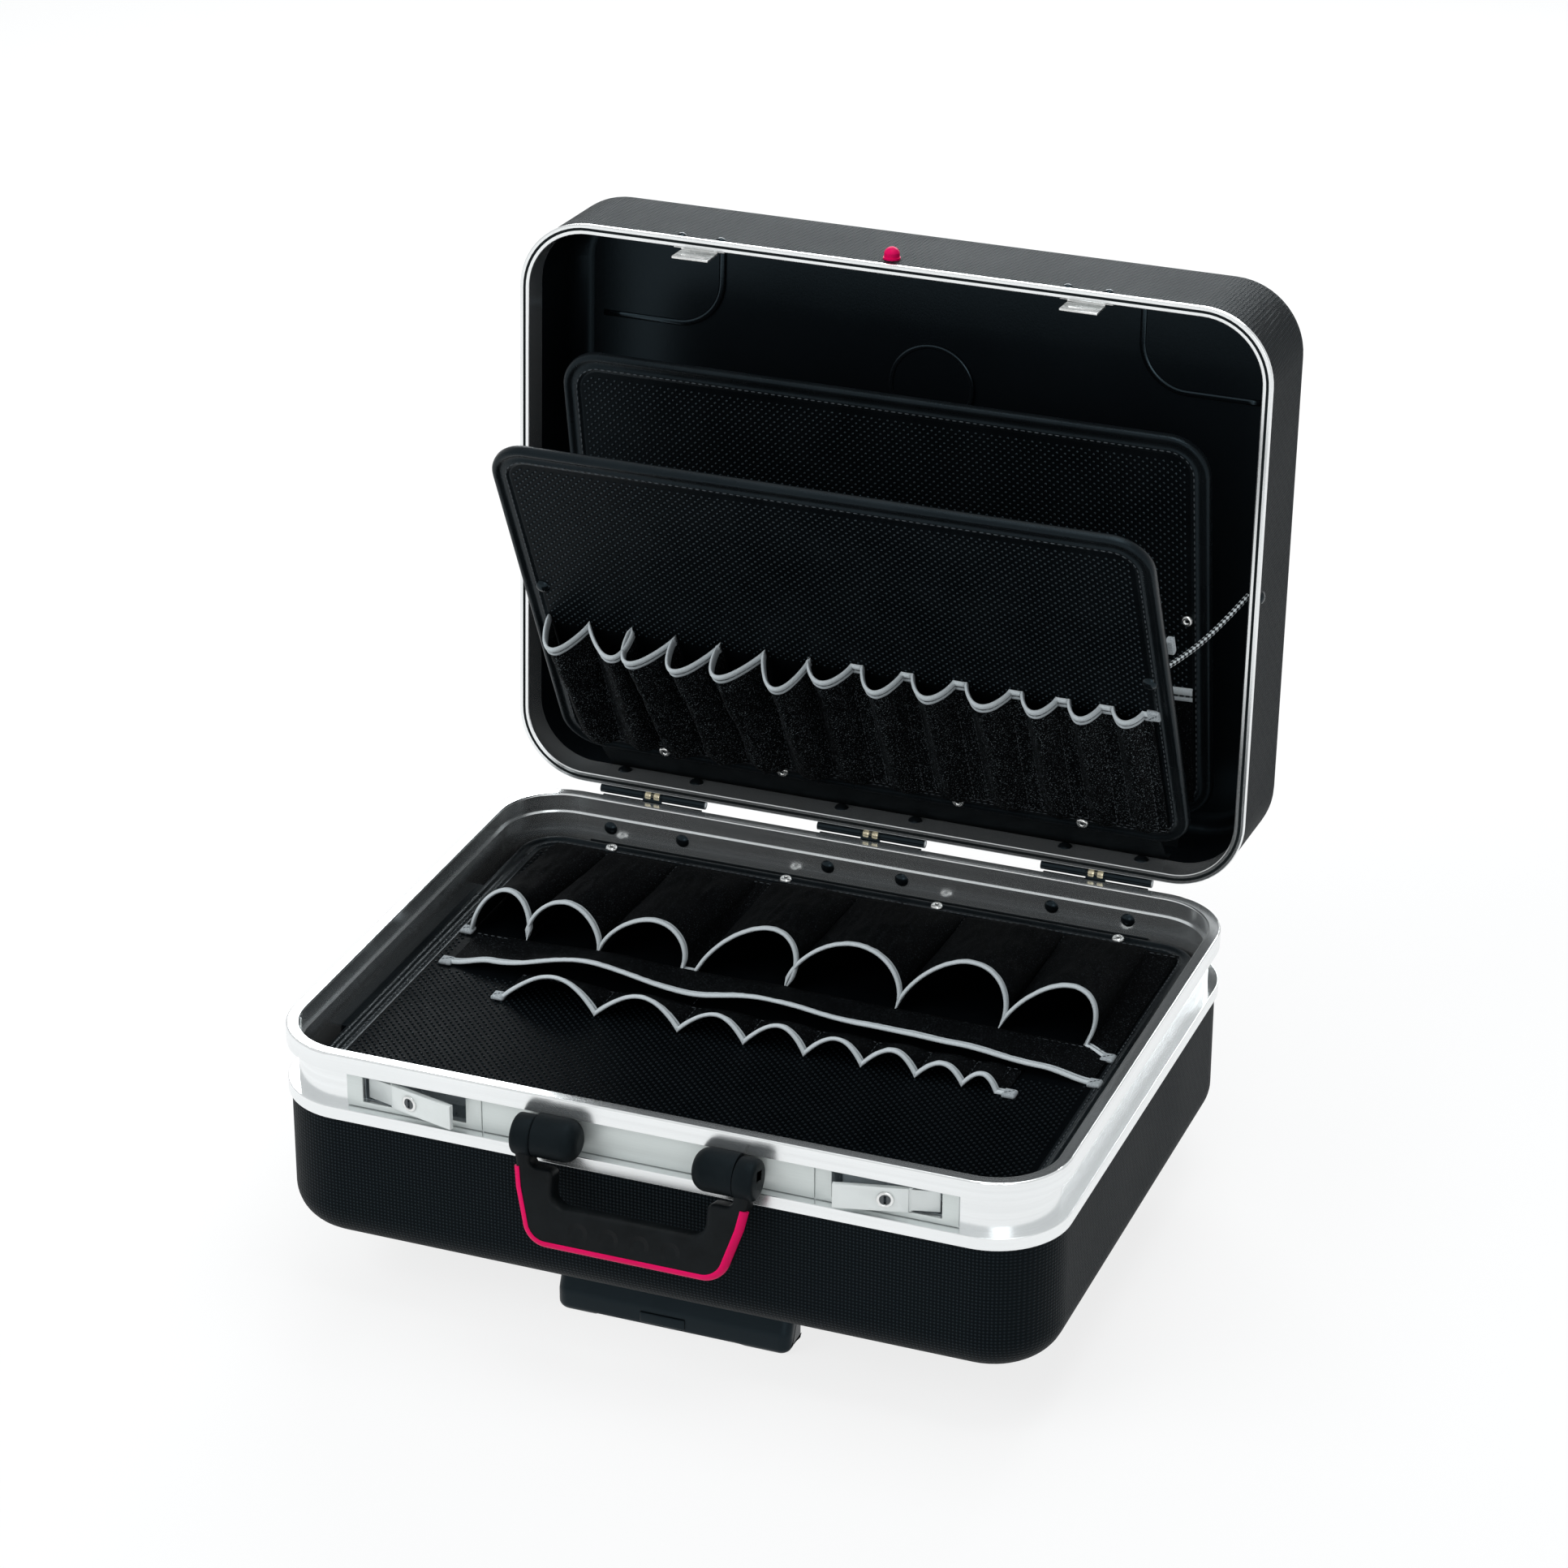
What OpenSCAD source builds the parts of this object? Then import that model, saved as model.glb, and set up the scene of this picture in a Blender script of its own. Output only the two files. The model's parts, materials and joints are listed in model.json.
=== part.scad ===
// Hard tool case: moulded shells on an aluminium frame, tool boards in the base and in the
// lid, two tilt-lever latches, a carry handle and a pull-out trolley with two wheels.
// Origin: on the floor, under the middle of the frame. +X right, front towards -Y, +Z up.
// The lid stands open, as the case is used.

/* [Case] */
// Width of the case over its frame
case_w = 490; // [460:2:530]
// Depth of the case over its frame
case_d = 376; // [350:2:410]
// Height of the base tray, from its underside to the rim
base_h = 131.5; // [115:0.5:160]
// Depth of the lid, from its rim to its outside
lid_h = 84; // [72:1:110]
// Radius of the upright corners
corner_r = 46; // [38:1:56]
// Radius of the base tray's bottom edge
base_edge_r = 24; // [12:1:28]
// Radius of the lid's outer edge
lid_edge_r = 16; // [8:1:24]
// Wall of the moulded shells
shell_wall = 3; // [2.4:0.2:3.4]
// Height of the tray's underside above the floor
stand_h = 40; // [38:1:48]

/* [Frame] */
// Height of the base frame
frame_h = 44.3; // [42:0.5:50]
// Height of the frame's upper flange
flange_h = 11.5; // [8:0.5:12]
// Depth below the rim at which the front recess ends
recess_low = 36; // [34:0.5:37]
// Depth of the recess that runs round the frame
recess_d = 6.7; // [5:0.1:7]
// Width of the rim seen from above
rim_w = 8; // [7.8:0.1:9]
// Depth below the rim of the step inside the frame
step_d = 12.5; // [12:0.5:15]
// Thickness of the frame below that step
low_w = 9.6; // [9.3:0.1:11]
// Height of the lid frame's inner wall
lid_frame_h = 20; // [18:1:26]
// Width of the lid frame's lip
lip_w = 6.5; // [6:0.1:7.5]

/* [Lid and hinges] */
// Angle at which the lid stands open
lid_open = 93.2; // [85:0.2:100]
// Distance of the hinge axis behind the frame
hinge_back = 3.2; // [3.2:0.1:4.5]
// Height of the hinge axis above the rim
hinge_up = 3; // [2.6:0.1:4]
// Radius of the hinge barrels
barrel_r = 3; // [2.4:0.1:3]
// Radius of the hinge pins
hinge_pin_r = 1.5; // [1.2:0.1:1.7]
// Length of each hinge
hinge_len = 73; // [60:1:90]
// Length of the middle knuckle
knuckle_len = 13; // [10:1:18]
// Distance from the middle hinge to the outer ones
hinge_pitch = 151; // [120:1:158]
// Radius of the dome rivet heads
rivet_r = 4.6; // [3.6:0.2:5]

/* [Latches] */
// Distance of each latch's middle from the case's side
latch_side = 97.4; // [95:0.2:110]
// Length of the window that the lever lies in
window_len = 66.6; // [60:0.2:70]
// Height of the window that the lever lies in
window_h = 16.5; // [14:0.5:18]
// Distance of the lever's pivot from the window's middle
pivot_off = 12.8; // [8:0.2:16]
// Angle at which the levers stand out
lever_out = 14; // [6:1:18]
// Radius of the lock cylinders
lock_r = 4.8; // [3.5:0.1:5.5]

/* [Carry handle] */
// Half the handle's width at its pivots
handle_top = 75.5; // [74:0.5:84]
// Half the handle's width at its lower corners
handle_low = 64.5; // [62:0.5:72]
// Distance from the pivots to the handle's outer edge
handle_drop = 63; // [58:1:80]
// Width of the handle's arms
arm_w = 12.5; // [10:0.5:14]
// Width of the grip bar
grip_w = 25; // [18:0.5:28]
// Thickness of the handle
handle_t = 15; // [12:0.5:16]
// Angle at which the handle leans out when it hangs
handle_lean = 15; // [12:1:25]
// Radius of the brackets that hold the handle
boss_r = 13; // [12:0.5:15]
// Length of those brackets
boss_len = 27; // [20:0.5:28]

/* [Tool boards] */
// Distance of the lid boards from the case's side
lid_board_side = 33; // [27:1:55]
// Depth of the case less the height of the lid boards
lid_board_less = 98; // [88:1:130]
// Thickness of all boards
board_t = 4; // [3:0.5:5]
// Distance of the front lid board from the rim when the lid is shut
front_depth = 6.5; // [5:0.5:12]
// Distance of the rear lid board from the rim when the lid is shut
rear_depth = 49; // [44:0.5:52]
// Angle at which the front lid board leans out of the lid
front_lean = 28.2; // [15:0.2:32]
// Angle at which the rear lid board leans out of the lid
rear_lean = 12.3; // [6:0.1:14]
// Distance of the base board from the case's side
base_board_side = 17; // [14:1:45]
// Depth of the base board's surface below the rim
base_board_down = 29; // [26:0.5:33]
// Radius of the boards' corners
board_r = 26; // [12:1:34]
// Thickness of the pocket cloth
cloth_t = 1.2; // [0.8:0.1:1.6]

/* [Trolley] */
// Distance of the trolley tubes from the middle
tube_x = 54; // [44:1:58]
// Outer radius of the fixed trolley tubes
tube_r = 11; // [9.5:0.5:12]
// Wall of the trolley tubes
tube_wall = 1.8; // [1.4:0.1:1.9]
// Half the width of the pull grip
pull_hw = 75; // [72:0.5:84]
// Radius of the wheels
wheel_r = 30; // [26:1:31]
// Width of the wheels
wheel_w = 22; // [16:1:24]
// Distance of the wheels' middle from the case's side
wheel_side = 64; // [63:1:80]
// Radius of the wheel axles
axle_r = 3; // [2:0.2:4]

/* [Hidden] */

$fn = 48;
e = 0.01;                          // overrun that keeps a cut clean
gap = 0.3;                         // air between pieces that move past each other
fit = 0.05;                        // radial running clearance of pins and shafts
rim_z = stand_h + base_h;          // the rim that the lid closes on
half_w = case_w / 2;
half_d = case_d / 2;
corner_x = half_w - corner_r;      // centres of the upright corners
corner_y = half_d - corner_r;
shell_in = 2;                      // shell set back from the frame's face
shell_up = 6;                      // shell held inside the frame
shell_top = rim_z - frame_h + shell_up;
wall_y = half_d - low_w;           // inner face of the frame's lower wall
wall_x = half_w - low_w;
hinge_y = half_d + hinge_back;
hinge_z = rim_z + hinge_up;
lid_rim = rim_z + gap;
lid_in = 0.5;                      // lid shell set back from the lip's edge
lid_wall = shell_wall - 0.2;
lip_h = 3;
relief_w = 290;                    // shallow relief along the tray's underside
relief_d = 1.5;
leaf_t = 1.4;
rivet_pitch = 50.4;
rivet_down = 19;
rivet_up = 14.5;
shank_r = 1.9;

recess_y = -(half_d - recess_d);   // face that the front fittings sit on
plate_t = 1;
strip_z = rim_z - (flange_h + recess_low) / 2;
strip_h = recess_low - flange_h - 2 * 0.4;
latch_x = half_w - latch_side;     // middle of each latch
latch_plate_len = window_len + 20.4;
lever_t = 3;
lever_len = window_len - 4.8;
lever_h = window_h - 1;
lever_y = recess_y + 1.5;          // lever pivot, behind the plate's face
latch_pin_r = 1.5;
lock_len = 8;
lock_off = 0.6;                    // lock's place, inward of the window's middle
latch_deep = 15;                   // how far the latch case reaches in
ramp_in = 1.2;                     // step of the lever's outer part

handle_y = -(half_d + 9);
handle_z = rim_z - 22;
handle_pin_r = 3;
handle_corner = 16;
boss_out = handle_top - arm_w - gap;
boss_nose = 9;                     // rounding of a bracket's inner end
cap_r = 12.5;                      // round end of each arm, beside its bracket
stripe_t = 0.3;                    // how far the coloured inlay stands proud
stripe_w = 3.2;                    // its width on the handle's front and outer edge

board_hinge_y = half_d - 25.5;     // hinge line of both lid boards
strap_t = 1.2;
strap_hw = corner_x - 9;
strap_foot = 8;                    // part of a lid strap that is sewn to the lid's wall
front_foot = 27;                   // depth of the front strap's foot, past the lid frame
lid_board_hw = half_w - lid_board_side;
lid_board_h = case_d - lid_board_less;
base_board_hw = half_w - base_board_side;
bead_r = 0.8;                      // sewn bead along each strap, on the board's hinge line
board_edge = bead_r + gap;         // board's hinged edge, measured past its hinge line
base_hinge_y = wall_y - 3;
base_board_top = rim_z - base_board_down;
base_hinge_z = base_board_top - board_t / 2;
base_board_front = -(half_d - 30);
large_end = base_hinge_y - 17.4;   // sewn end and mouth of each row on the base board
large_mouth = large_end - 128;
strip_end = large_mouth - 3;
strip_mouth = large_mouth - 42;
small_end = large_mouth - 44;
small_mouth = large_mouth - 72;
lid_row_mouth = 126;               // the same for the lid boards, up from the hinge line
rear_row_mouth = 98;
lid_row_end = 14;
ledge_w = 13.5;
ledge_len = 2 * (half_d - 88);
silver_r = 4;
stud_x = lid_board_hw - 13;
stud_up = 153;
stud_r = 5.2;
eyelet_x = lid_board_hw - 15;
cord_r = 1.3;
cord_y = -7;                       // place of the stay cord's screw along the lid's side
cord_up = 10;
keeper_w = 24;
keeper_y = -(half_d - lip_w);
keeper_t = 1.6;
keeper_drop = 11.8;
keeper_in = 2.3;                   // the tongue's step inward, past the base frame's rim
keeper_x = latch_x - 22.1;

mid_r = tube_r - tube_wall - 0.1;  // middle tube, running in the fixed one
in_r = mid_r - tube_wall - 0.1;    // inner tube, running in the middle one
tube_z = 21;
tube_front = -86;
tube_back = half_d - 46;
pull_y = -147;                     // front face of the pull grip
pull_deep = 24;
pull_h = 33;
wheel_x = half_w - wheel_side;
wheel_y = half_d + 18.5;
cheek = 4;
well = 2.2;                        // air round a wheel

// Sewing lines of the pockets, from left to right, as shares of the board's half width,
// and how far each loop stands up, as a share of the row's highest
large_x = base_board_hw * [-0.89, -0.75, -0.557, -0.272, 0.004, 0.333, 0.618, 0.947];
large_rise = 37 * [0.78, 0.81, 0.76, 0.97, 0.97, 1, 0.89];
small_x = base_board_hw * [-0.658, -0.404, -0.167, 0.013, 0.193, 0.346, 0.504, 0.627, 0.746];
small_rise = 19 * [1, 0.92, 0.87, 0.87, 0.84, 0.79, 0.71, 0.58];
strip_x = base_board_hw * [-0.882, -0.185, 0.947];
strip_rise = 17 * [1, 0.88];
lid_x = lid_board_hw * [-0.934, -0.807, -0.67, -0.533, -0.392, -0.248, -0.118, 0.035, 0.196,
    0.354, 0.524, 0.665, 0.797, 0.92];
lid_rise = 27 * [1, 0.96, 0.93, 0.96, 0.96, 1, 0.67, 0.67, 0.59, 0.56, 0.52, 0.56, 0.37];
rear_x = lid_board_hw * [-0.92, -0.189, 0.943];
rear_rise = 8 * [1, 1];
base_rivet_x = base_board_hw * [-0.754, -0.221, 0.23, 0.759];
lid_rivet_x = lid_board_hw * [-0.672, -0.288, 0.274, 0.663];

// Places of points that ride with the lid, and with the front board in it
function turned(p, c, a) =
    let (y = p[1] - c[1], z = p[2] - c[2])
    [p[0], c[1] + y * cos(a) - z * sin(a), c[2] + y * sin(a) + z * cos(a)];
function lid_point(p) = turned(p, [0, hinge_y, hinge_z], -lid_open);
function front_point(p) =
    lid_point(turned(p, [0, board_hinge_y, rim_z + front_depth], front_lean));

// ---------- shared shapes ----------

// Carries a section round the case: its x runs outward from the corner centres
module around() {
    for (k = [0:3]) {
        len = k % 2 == 0 ? 2 * corner_x : 2 * corner_y;
        off = k % 2 == 0 ? corner_y : corner_x;
        rotate([0, 0, 90 * k]) translate([len / 2, -off, 0]) {
            rotate([90, 0, -90]) linear_extrude(len) children();
            rotate([0, 0, -90]) rotate_extrude(angle = 90, $fn = 64) children();
        }
    }
}

// A strip of that section, between two depths in from the frame's face
module band(in0, in1, z0, z1)
    translate([corner_r - in1, z0]) square([in1 - in0, z1 - z0]);

module soft_band(in0, in1, z0, z1, r) {
    band(in0 + r, in1 - r, z0, z1);
    band(in0, in1, z0 + r, z1 - r);
    for (x = [in0 + r, in1 - r], z = [z0 + r, z1 - r])
        translate([corner_r - x, z]) circle(r, $fn = 24);
}

// Section of a tray's wall and floor, with a round bottom edge
module tray_half(r, h, edge) {
    square([r - edge, h]);
    translate([0, edge]) square([r, h - edge]);
    translate([r - edge, edge]) intersection() {
        circle(edge, $fn = 64);
        translate([0, -edge]) square(2 * edge);
    }
}

module tray_section(r, h, edge, wall)
    difference() {
        tray_half(r, h, edge);
        translate([-e, wall]) square([r - edge + e, h]);
        translate([0, wall]) tray_half(r - wall, h, edge - wall);
    }

module round_plate(hw, y0, y1, r, t) {
    linear_extrude(t) {
        translate([-hw + r, y0]) square([2 * (hw - r), y1 - y0]);
        translate([-hw, y0 + r]) square([2 * hw, y1 - y0 - 2 * r]);
        for (x = [-hw + r, hw - r], y = [y0 + r, y1 - r]) translate([x, y]) circle(r);
    }
}

module along_x(x0, x1) translate([x0, 0, 0]) rotate([90, 0, 90]) linear_extrude(x1 - x0) children();

module rod(x0, x1, r) along_x(x0, x1) circle(r);

module dome(r, h)
    intersection() {
        translate([0, 0, h - (r * r + h * h) / (2 * h)]) sphere((r * r + h * h) / (2 * h));
        cylinder(h = h + 1, r = r);
    }

module mirrored_pair() {
    children();
    mirror([1, 0, 0]) children();
}

module lid_place()
    translate([0, hinge_y, hinge_z]) rotate([-lid_open, 0, 0])
        translate([0, -hinge_y, -hinge_z]) children();

// Puts a board that is drawn from its hinge line (y = 0, towards -y) into the lid
module board_place(depth, lean)
    lid_place() translate([0, board_hinge_y, rim_z + depth]) rotate([lean, 0, 0]) children();

// A cloth row sewn down along lines xs, standing up in loops between them.
// It runs from its open mouth at y0 to its sewn end at y1.
module pocket_row(xs, rises, y0, y1, back, low) {
    n = 8;
    rows = 5;
    cols = n * (len(xs) - 1);
    function arch(j) = pow(sin(180 * (j % n) / n), 0.75);
    function col_x(j) = let (i = min(floor(j / n), len(xs) - 2), u = (j - i * n) / n)
        xs[i] + (xs[i + 1] - xs[i]) * u;
    function col_rise(j) = j == cols ? 0 : rises[floor(j / n)] * arch(j);
    function sheet(lift) = [for (r = [0:rows], j = [0:cols])
        let (v = r / rows, s = col_rise(j))
        [col_x(j), y0 + (y1 - y0) * v + back * (1 - v) * s, lift + s * max(low, pow(1 - v, 1.1))]];
    m = (rows + 1) * (cols + 1);
    function at(r, j, top) = r * (cols + 1) + j + (top ? m : 0);
    skin = [for (r = [0:rows - 1], j = [0:cols - 1]) each [
        [at(r, j, true), at(r + 1, j, true), at(r + 1, j + 1, true)],
        [at(r, j, true), at(r + 1, j + 1, true), at(r, j + 1, true)],
        [at(r, j, false), at(r + 1, j + 1, false), at(r + 1, j, false)],
        [at(r, j, false), at(r, j + 1, false), at(r + 1, j + 1, false)]]];
    ends = [for (j = [0:cols - 1]) each [
        [at(0, j, false), at(0, j, true), at(0, j + 1, true)],
        [at(0, j, false), at(0, j + 1, true), at(0, j + 1, false)],
        [at(rows, j, false), at(rows, j + 1, true), at(rows, j, true)],
        [at(rows, j, false), at(rows, j + 1, false), at(rows, j + 1, true)]]];
    sides = [for (r = [0:rows - 1]) each [
        [at(r, 0, false), at(r + 1, 0, true), at(r, 0, true)],
        [at(r, 0, false), at(r + 1, 0, false), at(r + 1, 0, true)],
        [at(r, cols, false), at(r, cols, true), at(r + 1, cols, true)],
        [at(r, cols, false), at(r + 1, cols, true), at(r + 1, cols, false)]]];
    polyhedron(concat(sheet(0), sheet(cloth_t)), concat(skin, ends, sides));
}

// A round cord through its points, with eight sides
module cord(points, r) {
    n = 8;
    last = len(points) - 1;
    function unit(v) = v / norm(v);
    function along(i) = unit(points[min(i + 1, last)] - points[max(i - 1, 0)]);
    function ring(i) = let (d = along(i), u = unit(cross(d, [0, 0, 1])), w = cross(u, d))
        [for (k = [0:n - 1]) points[i] + r * (u * cos(360 * k / n) + w * sin(360 * k / n))];
    polyhedron([for (i = [0:last]) each ring(i)], concat(
        [for (i = [0:last - 1], k = [0:n - 1]) each [
            [i * n + k, (i + 1) * n + k, (i + 1) * n + (k + 1) % n],
            [i * n + k, (i + 1) * n + (k + 1) % n, i * n + (k + 1) % n]]],
        [[for (k = [0:n - 1]) k]], [[for (k = [n - 1:-1:0]) last * n + k]]));
}

// ---------- base ----------

module base_shell() color("#1c1d20")
    difference() {
        translate([0, 0, stand_h]) {
            around() tray_section(corner_r - shell_in, shell_top - stand_h, base_edge_r, shell_wall);
            translate([-corner_x, -corner_y, 0]) cube([2 * corner_x, 2 * corner_y, shell_wall]);
        }
        translate([-relief_w / 2, -half_d, stand_h - 1]) cube([relief_w, case_d, relief_d + 1]);
    }

module base_frame_section()
    difference() {
        union() {
            soft_band(0, rim_w, rim_z - flange_h - 4, rim_z, 1.2);
            band(recess_d - 1, rim_w, rim_z - frame_h, rim_z - flange_h);
            band(rim_w - 1, low_w, rim_z - frame_h, rim_z - step_d);
            soft_band(0, rim_w, rim_z - frame_h, rim_z - recess_low, 0.6);
        }
        band(-1, recess_d, rim_z - recess_low, rim_z - flange_h);
        band(shell_in - fit, shell_in + shell_wall + fit, rim_z - frame_h - 1, shell_top + fit);
    }

module latch_windows(grow)
    mirrored_pair()
        translate([latch_x - window_len / 2 - grow, -half_d - 2, strip_z - window_h / 2 - grow])
            cube([window_len + 2 * grow, low_w + 4, window_h + 2 * grow]);

module rivet_places(z)
    for (i = [-1:1], s = [-0.5, 0.5])
        translate([i * hinge_pitch + s * rivet_pitch, 0, z]) children();

module base_frame() color("#c9cbcd")
    difference() {
        around() base_frame_section();
        latch_windows(0);
        rivet_places(rim_z - rivet_down)
            translate([0, wall_y - 1, 0]) rotate([-90, 0, 0]) cylinder(h = low_w, r = shank_r + fit);
    }

// Thin plate that covers the joint of the bent frame, inside the recess at the back
module base_seam_plate() color("#b9bbbe")
    translate([-82, half_d - recess_d + e, rim_z - recess_low + 1])
        cube([24, plate_t, recess_low - flange_h - 2]);

module name_strip() color("#a9abad")
    translate([-latch_x + latch_plate_len / 2 + gap, recess_y - plate_t, strip_z - strip_h / 2])
        cube([2 * (latch_x - latch_plate_len / 2 - gap), plate_t, strip_h]);

module latch_plate() color("#b4b6b8")
    difference() {
        translate([latch_x - latch_plate_len / 2, recess_y - plate_t, strip_z - strip_h / 2])
            cube([latch_plate_len, plate_t, strip_h]);
        latch_windows(0);
    }
module latch_plate_left() mirror([1, 0, 0]) latch_plate();
module latch_plate_right() latch_plate();

// Box behind the window, in which the lever turns
module latch_case() color("#8d9092")
    difference() {
        translate([latch_x - window_len / 2 - 3, -wall_y, strip_z - window_h / 2 - 3])
            cube([window_len + 6, latch_deep, window_h + 6]);
        translate([latch_x - window_len / 2, -wall_y - 1, strip_z - window_h / 2])
            cube([window_len, latch_deep - 0.5, window_h]);
    }
module latch_case_left() mirror([1, 0, 0]) latch_case();
module latch_case_right() latch_case();

// Turns what is drawn for a shut right-hand lever to its open rest place
module lever_place()
    translate([latch_x + pivot_off, lever_y, 0]) rotate([0, 0, lever_out])
        translate([-latch_x - pivot_off, -lever_y, 0]) children();

module latch_lever() color("#bfc1c3")
    lever_place() difference() {
        inner = latch_x - lever_len / 2;
        front = recess_y - plate_t - 1.5;
        union() {
            translate([inner, front, strip_z - lever_h / 2])
                cube([lever_len / 2 + pivot_off, lever_t, lever_h]);
            translate([latch_x + pivot_off - e, front + ramp_in, strip_z - lever_h / 2 + 1])
                cube([lever_len / 2 - pivot_off, lever_t - ramp_in, lever_h - 2]);
            translate([latch_x + pivot_off, lever_y, strip_z - lever_h / 2])
                cylinder(h = lever_h, r = 2 * latch_pin_r);
        }
        translate([latch_x + pivot_off, lever_y, 0]) cylinder(h = rim_z, r = latch_pin_r + fit);
        translate([latch_x - lock_off, front - 1, strip_z]) rotate([-90, 0, 0])
            cylinder(h = lever_t + 2, r = lock_r + fit);
    }
module latch_lever_left() mirror([1, 0, 0]) latch_lever();
module latch_lever_right() latch_lever();

// Bent claw on the back of the lever, which draws the keeper down
module latch_hook() color("#93989b")
    lever_place() translate([latch_x - lever_len / 2 + 3, recess_y - plate_t - 1.5 + lever_t, 0]) {
        translate([0, 0, strip_z - 5]) cube([14, 1.5, 10]);
        translate([10, 0, strip_z - 5]) cube([4, 5, 10]);
        translate([4, 3.5, strip_z - 5]) cube([8, 1.5, 10]);
    }
module latch_hook_left() mirror([1, 0, 0]) latch_hook();
module latch_hook_right() latch_hook();

module lock() color("#7c7f82")
    lever_place() translate([latch_x - lock_off, recess_y - plate_t - 2.2, strip_z])
        rotate([-90, 0, 0]) difference() {
            cylinder(h = lock_len, r = lock_r);
            translate([-0.7, -2.6, -1]) cube([1.4, 5.2, 4]);
        }
module lock_left() mirror([1, 0, 0]) lock();
module lock_right() lock();

module latch_pins() color("#6f7274")
    mirrored_pair() translate([latch_x + pivot_off, lever_y, strip_z - window_h / 2])
        cylinder(h = window_h, r = latch_pin_r);

// ---------- carry handle ----------

module handle_place()
    translate([0, handle_y, handle_z]) rotate([-handle_lean, 0, 0]) children();

module handle_brackets() color("#17181a")
    mirrored_pair() difference() {
        union() {
            difference() {
                translate([boss_out - boss_len, handle_y + 2, handle_z]) rotate([0, 90, 0])
                    rotate_extrude() tray_half(boss_r, boss_len, boss_nose);
                translate([0, -half_d - 0.2, 0]) cube([case_w, half_d, rim_z + 30]);
            }
            translate([boss_out - boss_len + boss_nose, handle_y + 2, strip_z - strip_h / 2 + 1])
                cube([boss_len - boss_nose - 2, recess_y - plate_t - handle_y - 2, strip_h - 2]);
        }
        translate([0, handle_y, handle_z]) rod(boss_out - 12, boss_out + 1, handle_pin_r + fit);
    }

// Outline of the handle in its own plane, x across and y upward from the pivots
function arc(c, r, a0, a1, n) = [for (i = [0:n])
    c + r * [cos(a0 + (a1 - a0) * i / n), sin(a0 + (a1 - a0) * i / n)]];

function handle_side(grow) = let (
    slope = atan((handle_top - handle_low) / (handle_drop - handle_corner)),
    r = handle_corner + grow)
    concat(arc([handle_low - handle_corner, -handle_drop + handle_corner], r, -90, -slope, 8),
        [[handle_top + grow, 0]]);

module handle_outline(grow)
    union() {
        half = handle_side(grow);
        polygon(concat(half, [for (i = [len(half) - 1:-1:0]) [-half[i][0], half[i][1]]]));
    }

// The opening steps outward above, where the arms pass beside the brackets
function handle_gap_side() = let (r = 8, x = handle_low - arm_w - 12, clear = boss_r + 4)
    concat(arc([x, -handle_drop + grip_w + r], r, -90, 0, 6),
        [[x + r, -clear], [handle_top - arm_w, -clear], [handle_top - arm_w, 40]]);

module handle_gap() {
    half = handle_gap_side();
    polygon(concat(half, [for (i = [len(half) - 1:-1:0]) [-half[i][0], half[i][1]]]));
}

module handle_slab(grow, t)
    rotate([90, 0, 0]) linear_extrude(t, center = true) difference() {
        handle_outline(grow);
        handle_gap();
    }

module handle_grip() color("#17181a")
    handle_place() difference() {
        union() {
            handle_slab(0, handle_t);
            mirrored_pair() rod(handle_top - arm_w, handle_top, cap_r);
        }
        rod(-case_w / 4, case_w / 4, handle_pin_r + fit);
        handle_stripe_solid();
    }

// Coloured inlay along the handle's outer edge, from one arm to the other
module handle_stripe_solid()
    translate([0, -handle_t / 2 + (stripe_w - stripe_t) / 2, 0]) rotate([90, 0, 0])
        linear_extrude(stripe_w + stripe_t, center = true) difference() {
            handle_outline(stripe_t);
            handle_outline(-stripe_w);
            translate([-case_w / 2, -18]) square([case_w, 80]);
        }

module handle_stripe() color("#d61a54") handle_place() handle_stripe_solid();

module handle_pins() color("#6f7274")
    mirrored_pair() translate([0, handle_y, handle_z])
        rod(boss_out - 11, boss_out + gap + arm_w - 2, handle_pin_r);

// ---------- hinges ----------

module barrel(x0, x1)
    translate([0, hinge_y, hinge_z]) difference() {
        rod(x0, x1, barrel_r);
        rod(x0 - 1, x1 + 1, hinge_pin_r + fit);
    }

module rivet_holes(x, z)
    for (s = [-0.5, 0.5]) translate([x + s * rivet_pitch, half_d - low_w - 1, z])
        rotate([-90, 0, 0]) cylinder(h = low_w + leaf_t + 3, r = shank_r + fit);

module hinge_base_leaves() color("#2a2b2d")
    for (i = [-1:1]) {
        x = i * hinge_pitch;
        difference() {
            union() {
                translate([x - hinge_len / 2 + 2, half_d + 0.2, rim_z - rivet_down - 9])
                    cube([hinge_len - 4, leaf_t, rivet_down + 9 - gap]);
                translate([x - 33, half_d - recess_d, rim_z - rivet_down - 8])
                    cube([66, recess_d + 0.2 + e, rivet_down + 8 - flange_h - gap]);
                translate([x - knuckle_len / 2, half_d + 0.2, rim_z - 1])
                    cube([knuckle_len, leaf_t, hinge_up + 1]);
                translate([0, hinge_y, hinge_z]) rod(x - knuckle_len / 2, x + knuckle_len / 2, barrel_r);
            }
            translate([0, hinge_y, hinge_z]) rod(x - hinge_len, x + hinge_len, hinge_pin_r + fit);
            rivet_holes(x, rim_z - rivet_down);
        }
    }

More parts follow.
